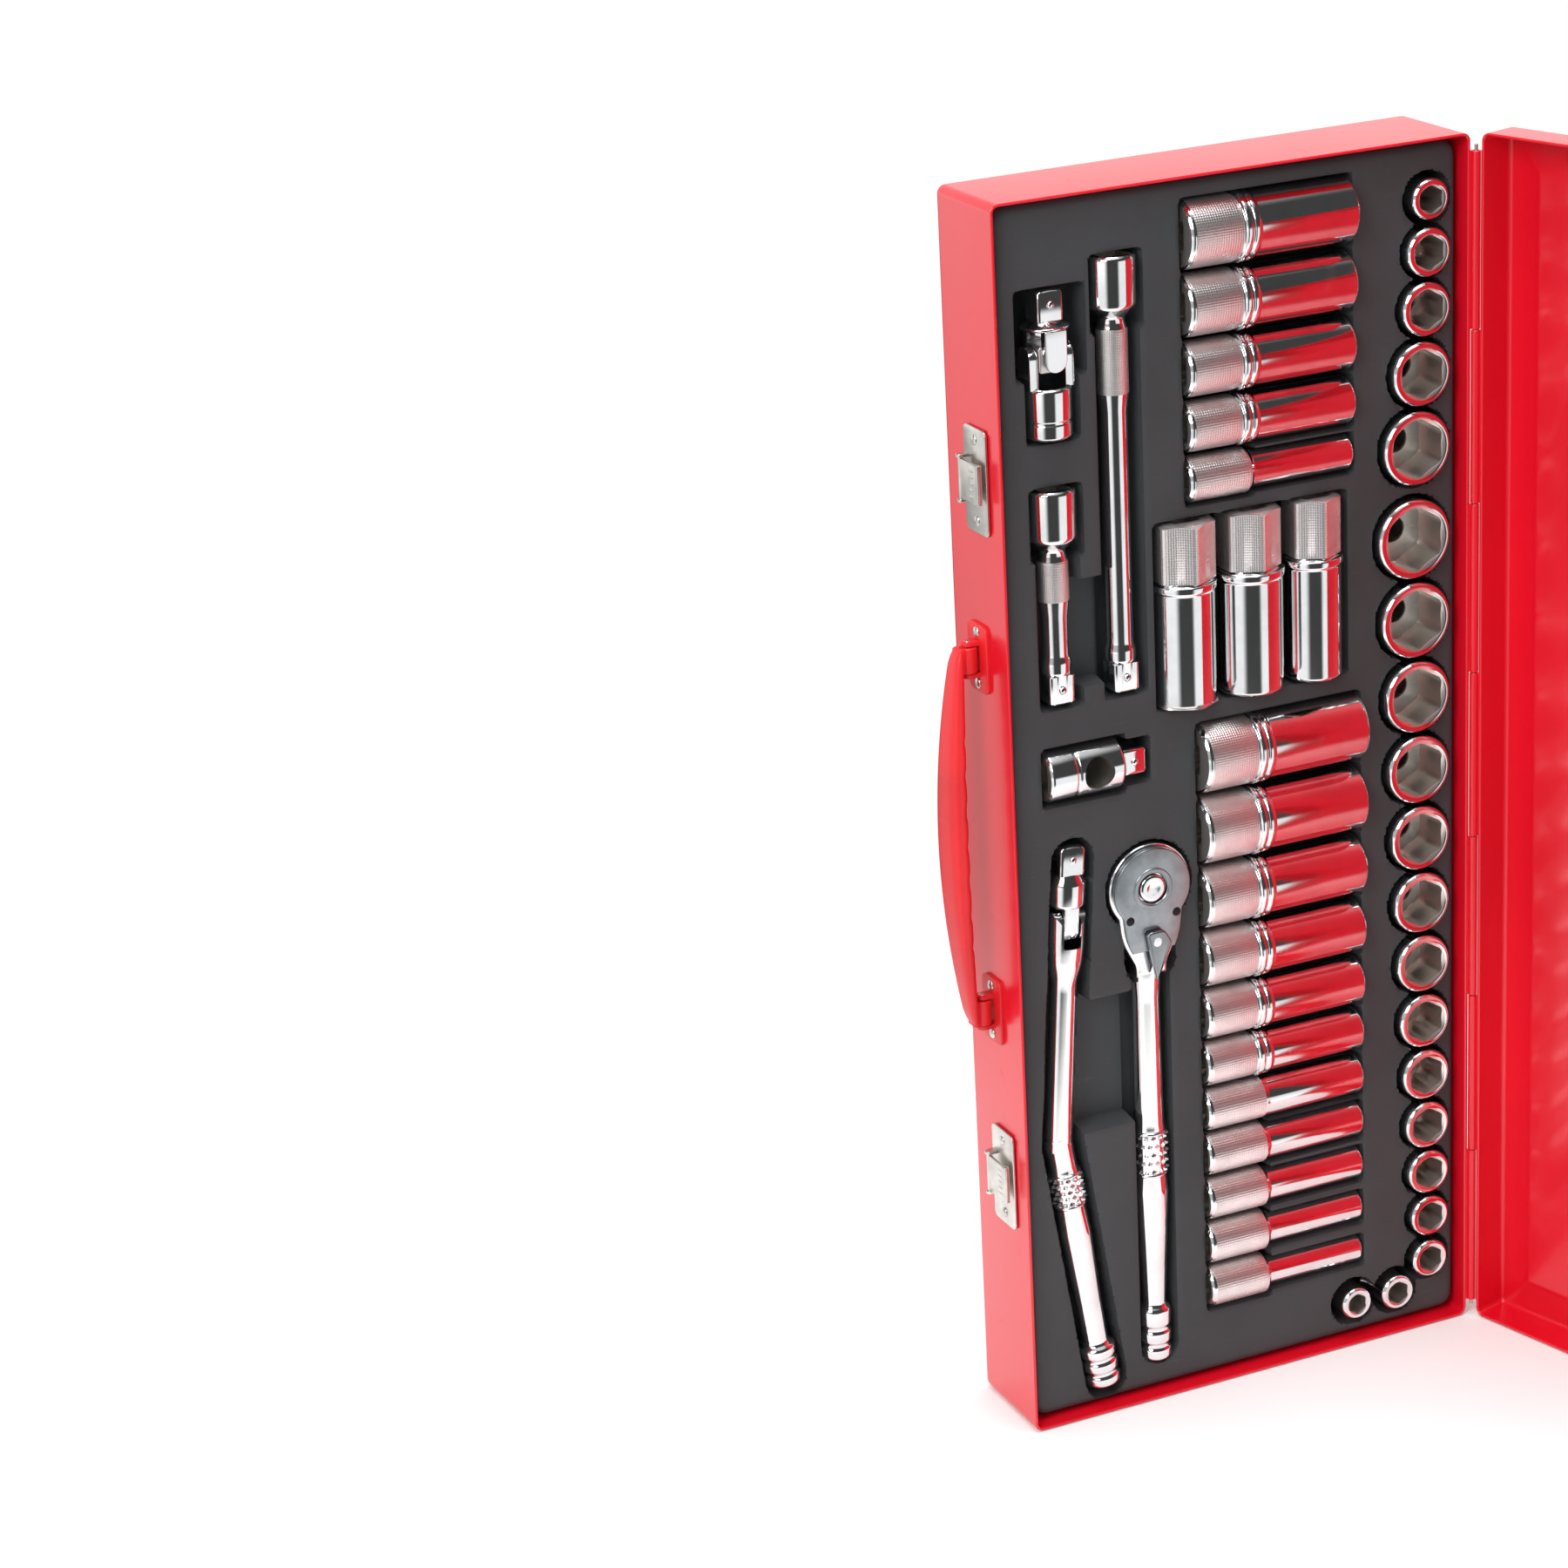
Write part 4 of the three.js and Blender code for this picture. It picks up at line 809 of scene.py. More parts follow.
def build_lid():
    half, height, rim, panel = tray_frame()
    shut_rim = rim - in_mm(case().rim_gap)
    pan = pan_piece("lid_pan", half, height, shut_rim, rim - in_mm(case().lid_depth))
    parts = [pan, *knuckle_pieces("lid_knuckle", 1, -1)]
    for i, node in enumerate(("latch_plate_upper", "latch_plate_lower")):
        low, high = box_mm(node)
        mid = (low[2] + high[2]) / 2
        outline = rounded_box_outline(shut_rim - 5.6, mid - 6.8, shut_rim - 1.8, mid + 6.8, 1.2)
        parts.append(slab(f"lid_catch_{i}", outline, -half - 1.5, -half + 0.3, 0.4, ["case_red"], "YZ"))
    joined = join_pieces("lid_shell", parts)
    open_lid(joined)
    settle(joined, "lid", "lid")
    # Painted reflection: a row of small red dashes on the lid's inner face stands in for the socket column's
    # reflections in the glossy lid.
    first = (half - 38, rim - in_mm(case().lid_depth) + 1.75, 75)
    reflection_dashes = heads("lid_reflection_dashes", 22, first, (0, 0, 14), (1.1, 0.5, 3.6), "case_red")
    open_lid(reflection_dashes)
    settle(reflection_dashes, "lid")


def build_hinge_pin():
    low, high = box_mm("hinge_pin")
    r = (high[0] - low[0]) / 2
    rings = rounded([(low[2], 0.2), (low[2], r), (high[2], r), (high[2], 0.2)], 0.5)
    place = ((low[0] + high[0]) / 2, (low[1] + high[1]) / 2, 0)
    settle(turned_piece("hinge_rod", rings, ["zinc"], place), "tray", "hinge_pin")


# ---------------------------------------------------------------- carry handle and latches


def handle_axis():
    low, high = box_mm("carry_handle")
    half = tray_frame()[0]
    return -half - 1.2 - 3.2 - 0.3, (low[1] + high[1]) / 2, (low[2] + high[2]) / 2, (high[2] - low[2]) / 2


def ear_outline(wall, pin, radius, half, count):
    """A tab that stands out from a wall and is round about a pin."""
    angles = np.linspace(math.pi / 2, 1.5 * math.pi, count)
    arc = [(pin[0] + radius * math.cos(a), pin[1] + radius * math.sin(a)) for a in angles]
    return [(wall, pin[1] + half), *arc, (wall, pin[1] - half)]


def build_handle():
    """A bowed grip that swells in the middle, with an eye at each end."""
    ax, ay, mid, end = handle_axis()
    n, sections = 32, 48
    verts, faces = [], []
    angle = np.arange(n) / n * TURN
    for i in range(sections + 1):
        t = -1 + 2 * i / sections
        bow = 1 - t * t
        tip = max(0.0, (abs(t) - 0.94) / 0.06)
        inner = 2.5 + 2.4 * bow
        outer = 5.2 + 6.3 * bow - 1.2 * tip
        wide = 3.5 + 4.5 * bow - 1.0 * tip
        cx, hx = -(inner + outer) / 2, (outer - inner) / 2
        power = 0.62
        x = cx + hx * np.sign(np.cos(angle)) * np.abs(np.cos(angle)) ** power
        y = wide * np.sign(np.sin(angle)) * np.abs(np.sin(angle)) ** power
        groove = 0.5 * max(0.0, math.cos(t * 34)) if abs(t) < 0.55 else 0.0
        x = np.where(x > cx, x - groove, x)
        verts.append(np.stack([ax + x, ay + y, np.full(n, mid + t * end)], axis=1))
    for i in range(sections):
        faces += strip(n, i * n, (i + 1) * n)
    faces.append(tuple(range(n))[::-1])
    faces.append(tuple(range(sections * n, (sections + 1) * n)))
    parts = [add_piece("grip", np.concatenate(verts), faces, [0] * len(faces), ["handle_red"])]
    for side in (-1, 1):
        at = mid + side * (end - 4.5)
        rings = [(-4.5, 1.5), (-4.5, 2.8), (-4.1, 3.2), (4.1, 3.2), (4.5, 2.8), (4.5, 1.5)]
        parts.append(turned_piece(f"eye_{side}", rings, ["handle_red"], (ax, ay, at), hollow=True))
        neck = rounded_box_outline(-4.6, -2.8, -1.6, 2.8, 0.8, 3)
        neck = [(ax + x, ay + y) for x, y in neck]
        parts.append(slab(f"neck_{side}", neck, at - 4.4, at + 4.4, 0.5, ["handle_red"], "XY"))
    settle(join_pieces("carry_grip", parts), "carry_handle", "carry_handle")


def build_brackets():
    """Two wall plates whose ears hold the handle's pins, with domed rivets."""
    ax, ay, mid, end = handle_axis()
    half = tray_frame()[0]
    parts = []
    for side in (-1, 1):
        at = mid + side * (end - 4.5)
        outline = rounded_box_outline(ay - 7, at - 12, ay + 7, at + 12, 3)
        parts.append(slab(f"plate_{side}", outline, -half - 1.2, -half + 0.4, 0.35, ["handle_red"], "YZ"))
        for low in (at - 6.4, at + 4.8):
            ear = ear_outline(-half, (ax, ay), 2.2, 2.2, 15)
            parts.append(slab(f"ear_{side}_{low:.0f}", ear, low, low + 1.6, 0.25, ["handle_red"], "XY"))
        parts.append(pin_piece(f"handle_pin_{side}", 6.6, 1.2, (ax, ay, at), "+Z", core=0.2))
        for z in (-9, 9):
            spot = (-half - 1.2, ay, at + z)
            parts.append(heads(f"bracket_rivet_{side}_{z}", 1, spot, (0, 0, 1), (0.9, 1.9, 1.9), "zinc"))
    settle(join_pieces("handle_brackets", parts), "tray")


def build_latch(where):
    """A plate with rolled ears and the lever that swings from them."""
    low, high = box_mm(f"latch_plate_{where}")
    lever_low = box_mm(f"latch_lever_{where}")[0]
    mid = (low[2] + high[2]) / 2
    back, near, far = high[0], low[1], high[1]
    plate_face = back - 0.9
    outline = rounded_box_outline(near, low[2], far, high[2], 2.2)
    parts = [slab("latch_base", outline, plate_face, back, 0.25, ["zinc"], "YZ")]
    ax, ay = (low[0] + 1.6), far - 2.0
    for z in (mid - 8.2, mid + 7.1):
        ear = ear_outline(back, (ax, ay), 1.5, 1.7, 11)
        parts.append(slab(f"latch_ear_{z:.0f}", ear, z, z + 1.1, 0.2, ["zinc"], "XY"))
    first, step = (plate_face, near + 8, low[2] + 4.2), (0, 0, high[2] - low[2] - 8.4)
    parts.append(heads("latch_rivets", 2, first, step, (0.8, 1.8, 1.8), "zinc"))
    settle(join_pieces(f"latch_base_{where}", parts), "tray", f"latch_plate_{where}")
    section = rounded(
        [
            (ax + 0.5, ay + 0.9), (ax - 0.55, ay + 0.9), (ax - 0.65, lever_low[1] + 2.6),
            (ax - 0.5, lever_low[1] + 0.3), (ax + 0.2, lever_low[1] + 0.15), (ax + 1.4, lever_low[1] + 0.4),
            (ax + 1.3, lever_low[1] + 1.6), (ax + 0.5, lever_low[1] + 2.6), (ax + 0.5, ay + 0.9),
        ],
        0.5,
        3,
    )[:-1]
    lever = slab("lever_body", section, mid - 6.8, mid + 6.8, 0.2, ["zinc"], "XY")
    rod = turned_piece(
        "lever_rod", [(-8.1, 0.2), (-8.1, 0.85), (8.1, 0.85), (8.1, 0.2)], ["zinc"], (ax, ay, mid)
    )
    first = (ax - 0.5, lever_low[1] + 4.4, mid - 4.4)
    ribs = heads("lever_ribs", 5, first, (0, 0, 2.2), (0.35, 2.0, 0.6), "zinc")
    settle(
        join_pieces(f"latch_arm_{where}", [lever, rod, ribs]), f"latch_lever_{where}", f"latch_lever_{where}"
    )


# ---------------------------------------------------------------- sockets


def bore_rings(top, flats, sides, depth, chamfer=0.7):
    """A coned mouth and a many-sided hole going down from it, as rings from the mouth inwards."""
    wall = many_sided(flats, sides)
    mouth = float(wall.max()) + chamfer * 0.4
    start = top - (mouth - wall) * 0.75
    return [(top, mouth), (start, wall), (top - depth, wall)]


def shallow_socket(i):
    node = f"shallow_socket_{i + 1:02d}"
    low, high = box_mm(node)
    flats = SHALLOW_FLATS[i]
    length = high[1] - low[1]
    outer = (high[0] - low[0]) / 2
    mouth_r = (flats * 1.15 + 4.2) / 2
    stepped = mouth_r < outer - 0.05
    body = [
        (0.0, outer - 0.9), (0.0, outer - 0.9), (0.9, outer), (length * 0.30, outer),
        (length * 0.32, outer - 0.25)
    ]
    body += [(length * 0.36, outer - 0.25), (length * 0.38, outer)]
    if stepped:
        body += [(length * 0.46, outer), (length * 0.58, mouth_r)]
    rim = min(mouth_r, outer)
    body += [(length - 0.8, rim), (length, rim - 0.8)]
    outside = rounded(body, 0.5, 2)
    hex_rings = bore_rings(length, flats, 6, length - 12.2)
    square = drive_square()
    neck = min(flats, in_mm(tools().drive) + DRIVE_PLAY) * 0.45
    inside = hex_rings + [
        (12.0, np.minimum(many_sided(flats, 6), flats * 0.49)), (11.9, neck + 0.3), (11.4, neck)
    ]
    inside += [(10.9, neck), (10.8, square), (0.6, square), (0.0, square + 0.5)]
    slots = [0] * len(outside) + [1] * len(inside)
    place = ((low[0] + high[0]) / 2, high[1], (low[2] + high[2]) / 2)
    piece = turned_piece(
        f"socket_{i + 1:02d}", outside + inside, ["chrome", "bore"], place, "-Y", slots, True
    )
    settle(piece, node, node)


def deep_socket(i):
    node = f"deep_socket_{i + 1:02d}"
    low, high = box_mm(node)
    flats = DEEP_FLATS[i]
    length = high[0] - low[0]
    mouth_r = min(flats + 4.5, flats * 1.15 + 4.2) / 2
    stepped = mouth_r < 7.85
    outer = max(mouth_r, 7.9)
    ridge = 0.0 if stepped else 0.55
    body = [(0.0, outer - 0.9), (0.9, outer - 0.1), (1.6, outer - 0.1), (1.8, outer), (18.6, outer)]
    if stepped:
        body += [(23.0, outer), (24.6, mouth_r)]
    else:
        body += [(19.0, outer - 0.35), (20.0, outer - 0.35), (20.4, outer + ridge), (22.2, outer + ridge)]
        body += [
            (22.6, outer - 0.1), (23.2, outer - 0.1), (23.6, outer + ridge * 0.6), (25.0, outer + ridge * 0.6)
        ]
        body += [(25.8, mouth_r - 0.15)]
    body += [(length - 1.0, mouth_r - 0.15), (length, mouth_r - 1.0)]
    outside = rounded(body, 0.4, 2)
    hex_rings = bore_rings(length, flats, 6, 16.0)
    square = drive_square()
    neck = min(flats, in_mm(tools().drive) + DRIVE_PLAY) * 0.45
    inside = hex_rings + [(length - 16.4, neck + 0.3), (length - 17.0, neck), (11.4, neck), (11.0, square)]
    inside += [(0.6, square), (0.0, square + 0.5)]
    satin_end = 22.8 if stepped else 19.5
    slots = [2 if 1.7 <= z <= satin_end else 0 for z, _ in outside] + [1] * len(inside)
    place = (low[0], (low[1] + high[1]) / 2, (low[2] + high[2]) / 2)
    rings = outside + inside
    piece = turned_piece(
        f"long_socket_{i + 1:02d}", rings, ["chrome", "bore", "satin"], place, "+X", slots, True
    )
    settle(piece, node, node)


def spark_socket(i):
    node = f"spark_plug_socket_{i + 1:02d}"
    low, high = box_mm(node)
    length = high[2] - low[2]
    body, hexagon, flats = SPARK_BODIES[i] / 2, SPARK_HEXES[i], SPARK_FLATS[i]
    foot = length - 21.0
    outline = many_sided(hexagon, 6, 0.03)
    lower = [(0.0, body - 0.9), (0.9, body), (foot - 3.4, body), (foot - 2.6, body + 0.6)]
    lower = rounded(lower + [(foot - 0.4, body + 0.6), (foot + 0.3, hexagon / 2 - 0.2)], 0.5, 3)
    coned = length - np.maximum(0.0, outline - hexagon / 2) * 0.6 - 0.3
    outside = list(lower) + [(foot + 0.6, outline), (coned, outline), (length, hexagon / 2 - 1.0)]
    square = drive_square()
    inner_hex = many_sided(flats, 6)
    inside = [(length, square + 0.5), (length - 0.5, square), (length - 11.0, square), (length - 11.2, 4.2)]
    inside += [
        (length - 20.5, 4.2), (length - 21.0, 4.6), (length - 22.0, inner_hex), (0.7, inner_hex),
        (0.0, inner_hex + 0.4)
    ]
    slots = [0] * len(lower) + [2] * (len(outside) - len(lower)) + [1] * len(inside)
    place = ((low[0] + high[0]) / 2, (low[1] + high[1]) / 2, low[2])
    piece = turned_piece(
        f"plug_socket_{i + 1:02d}", outside + inside, ["chrome", "bore", "satin"], place, "+Z", slots, True
    )
    settle(piece, node, node)


# ---------------------------------------------------------------- bars, adapter and universal joint


def tang_rings(length):
    """A chamfered drive square with its tip at 0, as rings from its tip to its root."""
    size = many_sided(in_mm(tools().drive), 4, 0.06)
    return [(0.0, 3.4), (0.6, size * 0.90), (1.4, size), (length, size)]


def tang_below(tip, length):
    """A drive square with its tip at the given height, as rings from its root to its tip."""
    return [(tip - z, r) for z, r in tang_rings(length)[::-1]]


def drive_square():
    """Radius of a square hole that takes a drive square."""
    return many_sided(in_mm(tools().drive) + DRIVE_PLAY, 4, 0.03)


def drive_hole():
    """A square hole in an end at 0, as rings from its bottom outwards."""
    square = drive_square()
    return [(11.5, 2.0), (11.0, square), (0.5, square), (0.0, square + 0.5)]


def pin_piece(name, half, radius, place, along, core=0.3, ease=0.4):
    """A round pin with eased ends, centred on its place."""
    rings = rounded([(-half, core), (-half, radius), (half, radius), (half, core)], ease)
    return turned_piece(name, rings, ["zinc"], place, along)


def round_cutter(name, radius, place, along, half=THROUGH, material="bore"):
    """A round bar that goes right through what it cuts."""
    return turned_piece(name, [(-half, radius), (half, radius)], [material], place, along)


def tang_ball(name, place, towards):
    """The sprung ball in one flat of a drive square."""
    reach = in_mm(tools().drive) / 2 - 0.5
    at = [middle + way * reach for middle, way in zip(place, towards)]
    return heads(name, 1, at, (0, 0, 1), (1.5, 1.5, 1.5), "chrome")


def extension(node, name):
    low, high = box_mm(node)
    length = high[2] - low[2]
    x, y, foot = (low[0] + high[0]) / 2, (low[1] + high[1]) / 2, low[2]
    socket = (high[0] - low[0]) / 2
    band = 24.0 if length > 100 else 16.0
    top = length - 23.0
    shaft = rounded(
        [
            (10.6, 4.9), (11.4, 5.3), (15.0, 5.3), (17.0, 4.6), (top - band - 6.0, 4.6), (top - band, 5.3),
            (top - 2.0, 5.3), (top, 4.6), (top + 2.0, 4.6), (top + 6.0, socket), (
                length - 0.8, socket
            ), (length, socket - 0.8),
        ],
        1.2,
        3,
    )
    outside = tang_rings(TANG_LENGTH) + list(shaft)
    inside = [(length - z, r) for z, r in drive_hole()[::-1]]
    slots = [2 if top - band <= z < top - 2.2 else 0 for z, _ in outside] + [1] * (len(inside) - 1)
    body = turned_piece(
        f"{name}_body", outside + inside, ["chrome", "bore", "satin"], (x, y, foot), "+Z", slots
    )
    ball = tang_ball(f"{name}_ball", (x, y, foot + 5.5), (0, -1, 0))
    settle(join_pieces(name, [body, ball]), node, node)


def adapter():
    node = "bar_adapter"
    low, high = box_mm(node)
    r = (high[2] - low[2]) / 2
    body_end = 29.0
    y, z = (low[1] + high[1]) / 2, (low[2] + high[2]) / 2
    outside = rounded(
        [
            (0.0, r - 0.8), (0.8, r), (9.6, r), (10.0, r - 0.3), (11.0, r - 0.3), (11.4, r), (27.4, r),
            (28.6, r - 1.2), (body_end, 5.4)
        ],
        0.5,
        3,
    )
    tip = high[0] - low[0]
    tang, inside = tang_below(tip, tip - body_end), drive_hole()
    rings = inside + list(outside) + tang
    slots = [1] * len(inside) + [0] * (len(outside) + len(tang))
    body = turned_piece("adapter_body", rings, ["chrome", "bore"], (low[0], y, z), "+X", slots)
    drill = round_cutter("drill", 5.7, (low[0] + 18, y, z), "+Y")
    cut_with(body, drill)
    ball = tang_ball("adapter_ball", (low[0] + tip - 5.0, y, z), (0, -1, 0))
    settle(join_pieces("sliding_adapter", [body, ball]), node, node)


def yoke_arms(name, centre, reach, across):
    """Two rounded arms about a joint's centre, for the caller to join into one piece."""
    x, y, z = centre
    parts = []
    for side in (-1, 1):
        angles = np.linspace(0, math.pi, 17)
        arc = [(4.0 * math.cos(a), -math.copysign(1, reach) * 4.0 * math.sin(a)) for a in angles]
        outline = arc + [(-4.0, reach), (4.0, reach)]
        if reach > 0:
            outline = outline[::-1]
        near, far = sorted((side * 5.0, side * 8.05))
        if across == "X":
            shape = [(y + a, z + b) for a, b in outline]
            parts.append(slab(f"{name}_{side}", shape[::-1], x + near, x + far, 0.3, ["chrome"], "YZ"))
        else:
            shape = [(x + a, z + b) for a, b in outline]
            parts.append(slab(f"{name}_{side}", shape, y + near, y + far, 0.3, ["chrome"], "XZ"))
    return parts


def universal_joint():
    cross_low, cross_high = box_mm("joint_cross")
    centre = (cross_low + cross_high) / 2
    x, y, z = centre
    low, high = box_mm("joint_socket_yoke")
    r = (high[0] - low[0]) / 2
    inside = drive_hole()
    cup = [(0.0, r - 0.8), (0.8, r), (5.0, r), (5.3, r - 0.25), (6.2, r - 0.25), (6.5, r), (16.4, r)]
    outside = rounded(cup + [(17.3, r - 0.9), (17.3, 0.5)], 0.4, 3)
    slots = [1] * len(inside) + [0] * len(outside)
    body = turned_piece("yoke_cup", inside + list(outside), ["chrome", "bore"], (x, y, low[2]), "+Z", slots)
    arms = yoke_arms("lower_arm", centre, -9.9, "X")
    settle(join_pieces("joint_lower_yoke", [body, *arms]), "joint_socket_yoke", "joint_socket_yoke")
    block = slab(
        "cross_block", rounded_box_outline(x - 4.6, z - 4.6, x + 4.6, z + 4.6, 1.2), y - 4.6, y + 4.6, 0.6,
        ["satin"], "XZ"
    )
    pins = [
        pin_piece("cross_pin_a", 7.6, 1.85, (x, y, z), "+X"),
        pin_piece("cross_pin_b", 7.6, 1.85, (x, y, z), "+Y"),
    ]
    settle(join_pieces("joint_middle", [block, *pins]), "joint_cross", "joint_cross")
    low, high = box_mm("joint_drive_yoke")
    tip = high[2] - z
    tang = tang_below(tip, TANG_LENGTH)
    collar_rings = [
        (9.5, 0.5), (9.5, r - 0.6), (10.1, r), (10.6, r), (tip - 10.9, 5.8), (tip - TANG_LENGTH, 5.0)
    ]
    head = list(rounded(collar_rings, 0.4, 3)) + tang
    body = turned_piece("yoke_head", head, ["chrome"], (x, y, z))
    arms = yoke_arms("upper_arm", centre, 9.9, "Y")
    ball = tang_ball("joint_ball", (x, y, high[2] - 5.0), (0, -1, 0))
    settle(join_pieces("joint_upper_yoke", [body, *arms, ball]), "joint_drive_yoke", "joint_drive_yoke")


# ---------------------------------------------------------------- flex handle


def upright(matrix_place, lean):
    """A matrix in metres that leans a piece made about Z and moves it to a place in millimetres."""
    return Matrix.Translation(Vector(matrix_place) * MM) @ Matrix.Rotation(lean, 4, "Y")


def collar(name, foot, length, radius, place, lean):
    """A knurled band between two rounded rings."""
    base = upright(place, lean)
    lift = Matrix.Translation((0, 0, (foot + 2.2) * MM))
    band = repeated(
        f"{name}_knurl",
        "knurl",
        {
            "Around": tools().knurl_count,
            "Rows": tools().knurl_rows,
            "Radius": (radius - 0.9) * MM,
            "Length": (length - 4.4) * MM,
            "Point": 1.15 * MM,
        },
        "knurl",
        base @ lift,
    )
    rings = repeated(
        f"{name}_rings",
        "rings",
        {
            "Count": 2, "Step": (0.0, 0.0, (length - 1.4) * MM), "Radius": (radius - 0.8) * MM,
            "Thickness": 0.75 * MM
        },
        "chrome",
        base @ Matrix.Translation((0, 0, (foot + 0.7) * MM)),
    )
    return [band, rings]


def flex_places():
    """The flex handle's bend and its pivot."""
    low, high = box_mm("extension_short")
    y = tray_frame()[2] + in_mm(liner().axis_depth)
    foot = 8.3 + in_mm(tools().flex_lower) * math.cos(tools().lower_lean)
    x = (low[0] + high[0]) / 2
    run = in_mm(tools().flex_upper)
    bend = (x - run * math.sin(tools().upper_lean), y, foot)
    return bend, (x, y, foot + run * math.cos(tools().upper_lean))


def flex_handle():
    """A bent handle: a slim neck with a clevis, a knurled collar and a swelling grip with a knob."""
    upper, lower = tools().upper_lean, -tools().lower_lean
    bend, pivot = flex_places()
    end, reach = -in_mm(tools().flex_lower), in_mm(tools().flex_upper)
    knob = [
        (0, 4.6), (0, 6.2), (1.0, 6.9), (3.6, 6.9), (4.4, 6.2), (5.6, 6.2), (6.4, 6.9), (9.2, 6.9),
        (10.0, 6.2),
        (11.2, 6.2), (12.0, 6.9), (15.4, 6.9), (16.8, 4.8), (35, 5.1), (62, 6.0), (73.2, 5.5), (87.2, 5.5),
        (89.2, 5.1),
    ]
    grip = rounded([(end + along, r) for along, r in knob] + [(2, 5.15)], 1.0, 3)
    lower_part = turned_piece("flex_grip", grip, ["chrome"], bend, "+Z", lean=lower)
    swell = [(-22, 4.9), (-19, 5.2), (-13, 6.7), (-7, 7.1), (6.4, 7.1), (6.4, 0.4)]
    neck = rounded([(-3, 5.15), (40, 4.9)] + [(reach + along, r) for along, r in swell], 2.0, 4)
    upper_part = turned_piece("flex_neck", neck, ["chrome"], bend, "+Z", lean=upper)
    lean = upright(pivot, upper)
    slot = slab(
        "slot", rounded_box_outline(-3.3, -6.4, 3.3, 20, 0.5, 2), -THROUGH, THROUGH, 0.1, ["chrome"], "XZ"
    )
    slot.data.transform(lean)
    rounding = round_cutter("round_end", 6.4, (0, 0, 0), "+X", material="chrome")
    keep = slab(
        "keep", rounded_box_outline(-20, -30, 20, 0, 0.5, 2), -THROUGH, THROUGH, 0.1, ["chrome"], "XZ"
    )
    cap = round_cutter("cap_zone", 25, (0, 0, 0), "+X", THROUGH + 1, "chrome")
    trim = cut_with(cap, rounding, keep)
    trim.data.transform(lean)
    cut_with(upper_part, slot, trim)
    pin = pin_piece("flex_pin", 6.2, 1.8, (0, 0, 0), "+X", ease=0.3)
    pin.data.transform(lean)
    parts = [lower_part, upper_part, pin, *collar("flex", end + 73.6, 13.6, 6.3, bend, lower)]
    settle(join_pieces("flex_bar", parts), "flex_handle", "flex_handle")
    tongue = slab(
        "flex_tongue",
        [
            (5.2 * math.cos(a), 5.2 * math.sin(a)) for a in np.linspace(math.pi, TURN, 17)
        ] + [(5.2, 9), (-5.2, 9)],
        -2.9, 2.9, 0.3, ["chrome"], "YZ",
    )
    tip = 7.6 + 12 + 10.5
    tang = tang_below(tip, TANG_LENGTH)
    barrel = rounded(
        [(7.6, 0.5), (7.6, 5.8), (8.6, 6.8), (16.4, 6.8), (18.8, 5.4), (tip - TANG_LENGTH, 5.0)], 0.7, 3
    )
    head = turned_piece("flex_barrel", list(barrel) + tang, ["chrome"], (0, 0, 0))
    ball = tang_ball("flex_ball", (0, 0, tip - 5.0), (0, -1, 0))
    drill = round_cutter("pin_hole", 2.0, (0, 0, 0), "+X", THROUGH / 2)
    cut_with(tongue, drill)
    joined = join_pieces("flex_drive_head", [tongue, head, ball])
    joined.data.transform(lean)
    settle(joined, "flex_head", "flex_head")


# ---------------------------------------------------------------- ratchet


def head_outline(inset):
    """The ratchet head's pear-shaped outline about the disc's centre, counterclockwise."""
    radius = HEAD_RADIUS - inset
    start, end = -0.22 * math.pi, 1.22 * math.pi
    arc = [(radius * math.cos(a), radius * math.sin(a)) for a in np.linspace(start, end, 61)]
    waist = 6.0 - inset
    left = rounded([arc[-1], (-radius * 0.70, -19), (-waist, -29), (-waist, -33)], 6.0, 5)[1:]
    right = [(-x, z) for x, z in left[::-1]]
    return arc + [tuple(p) for p in left] + right


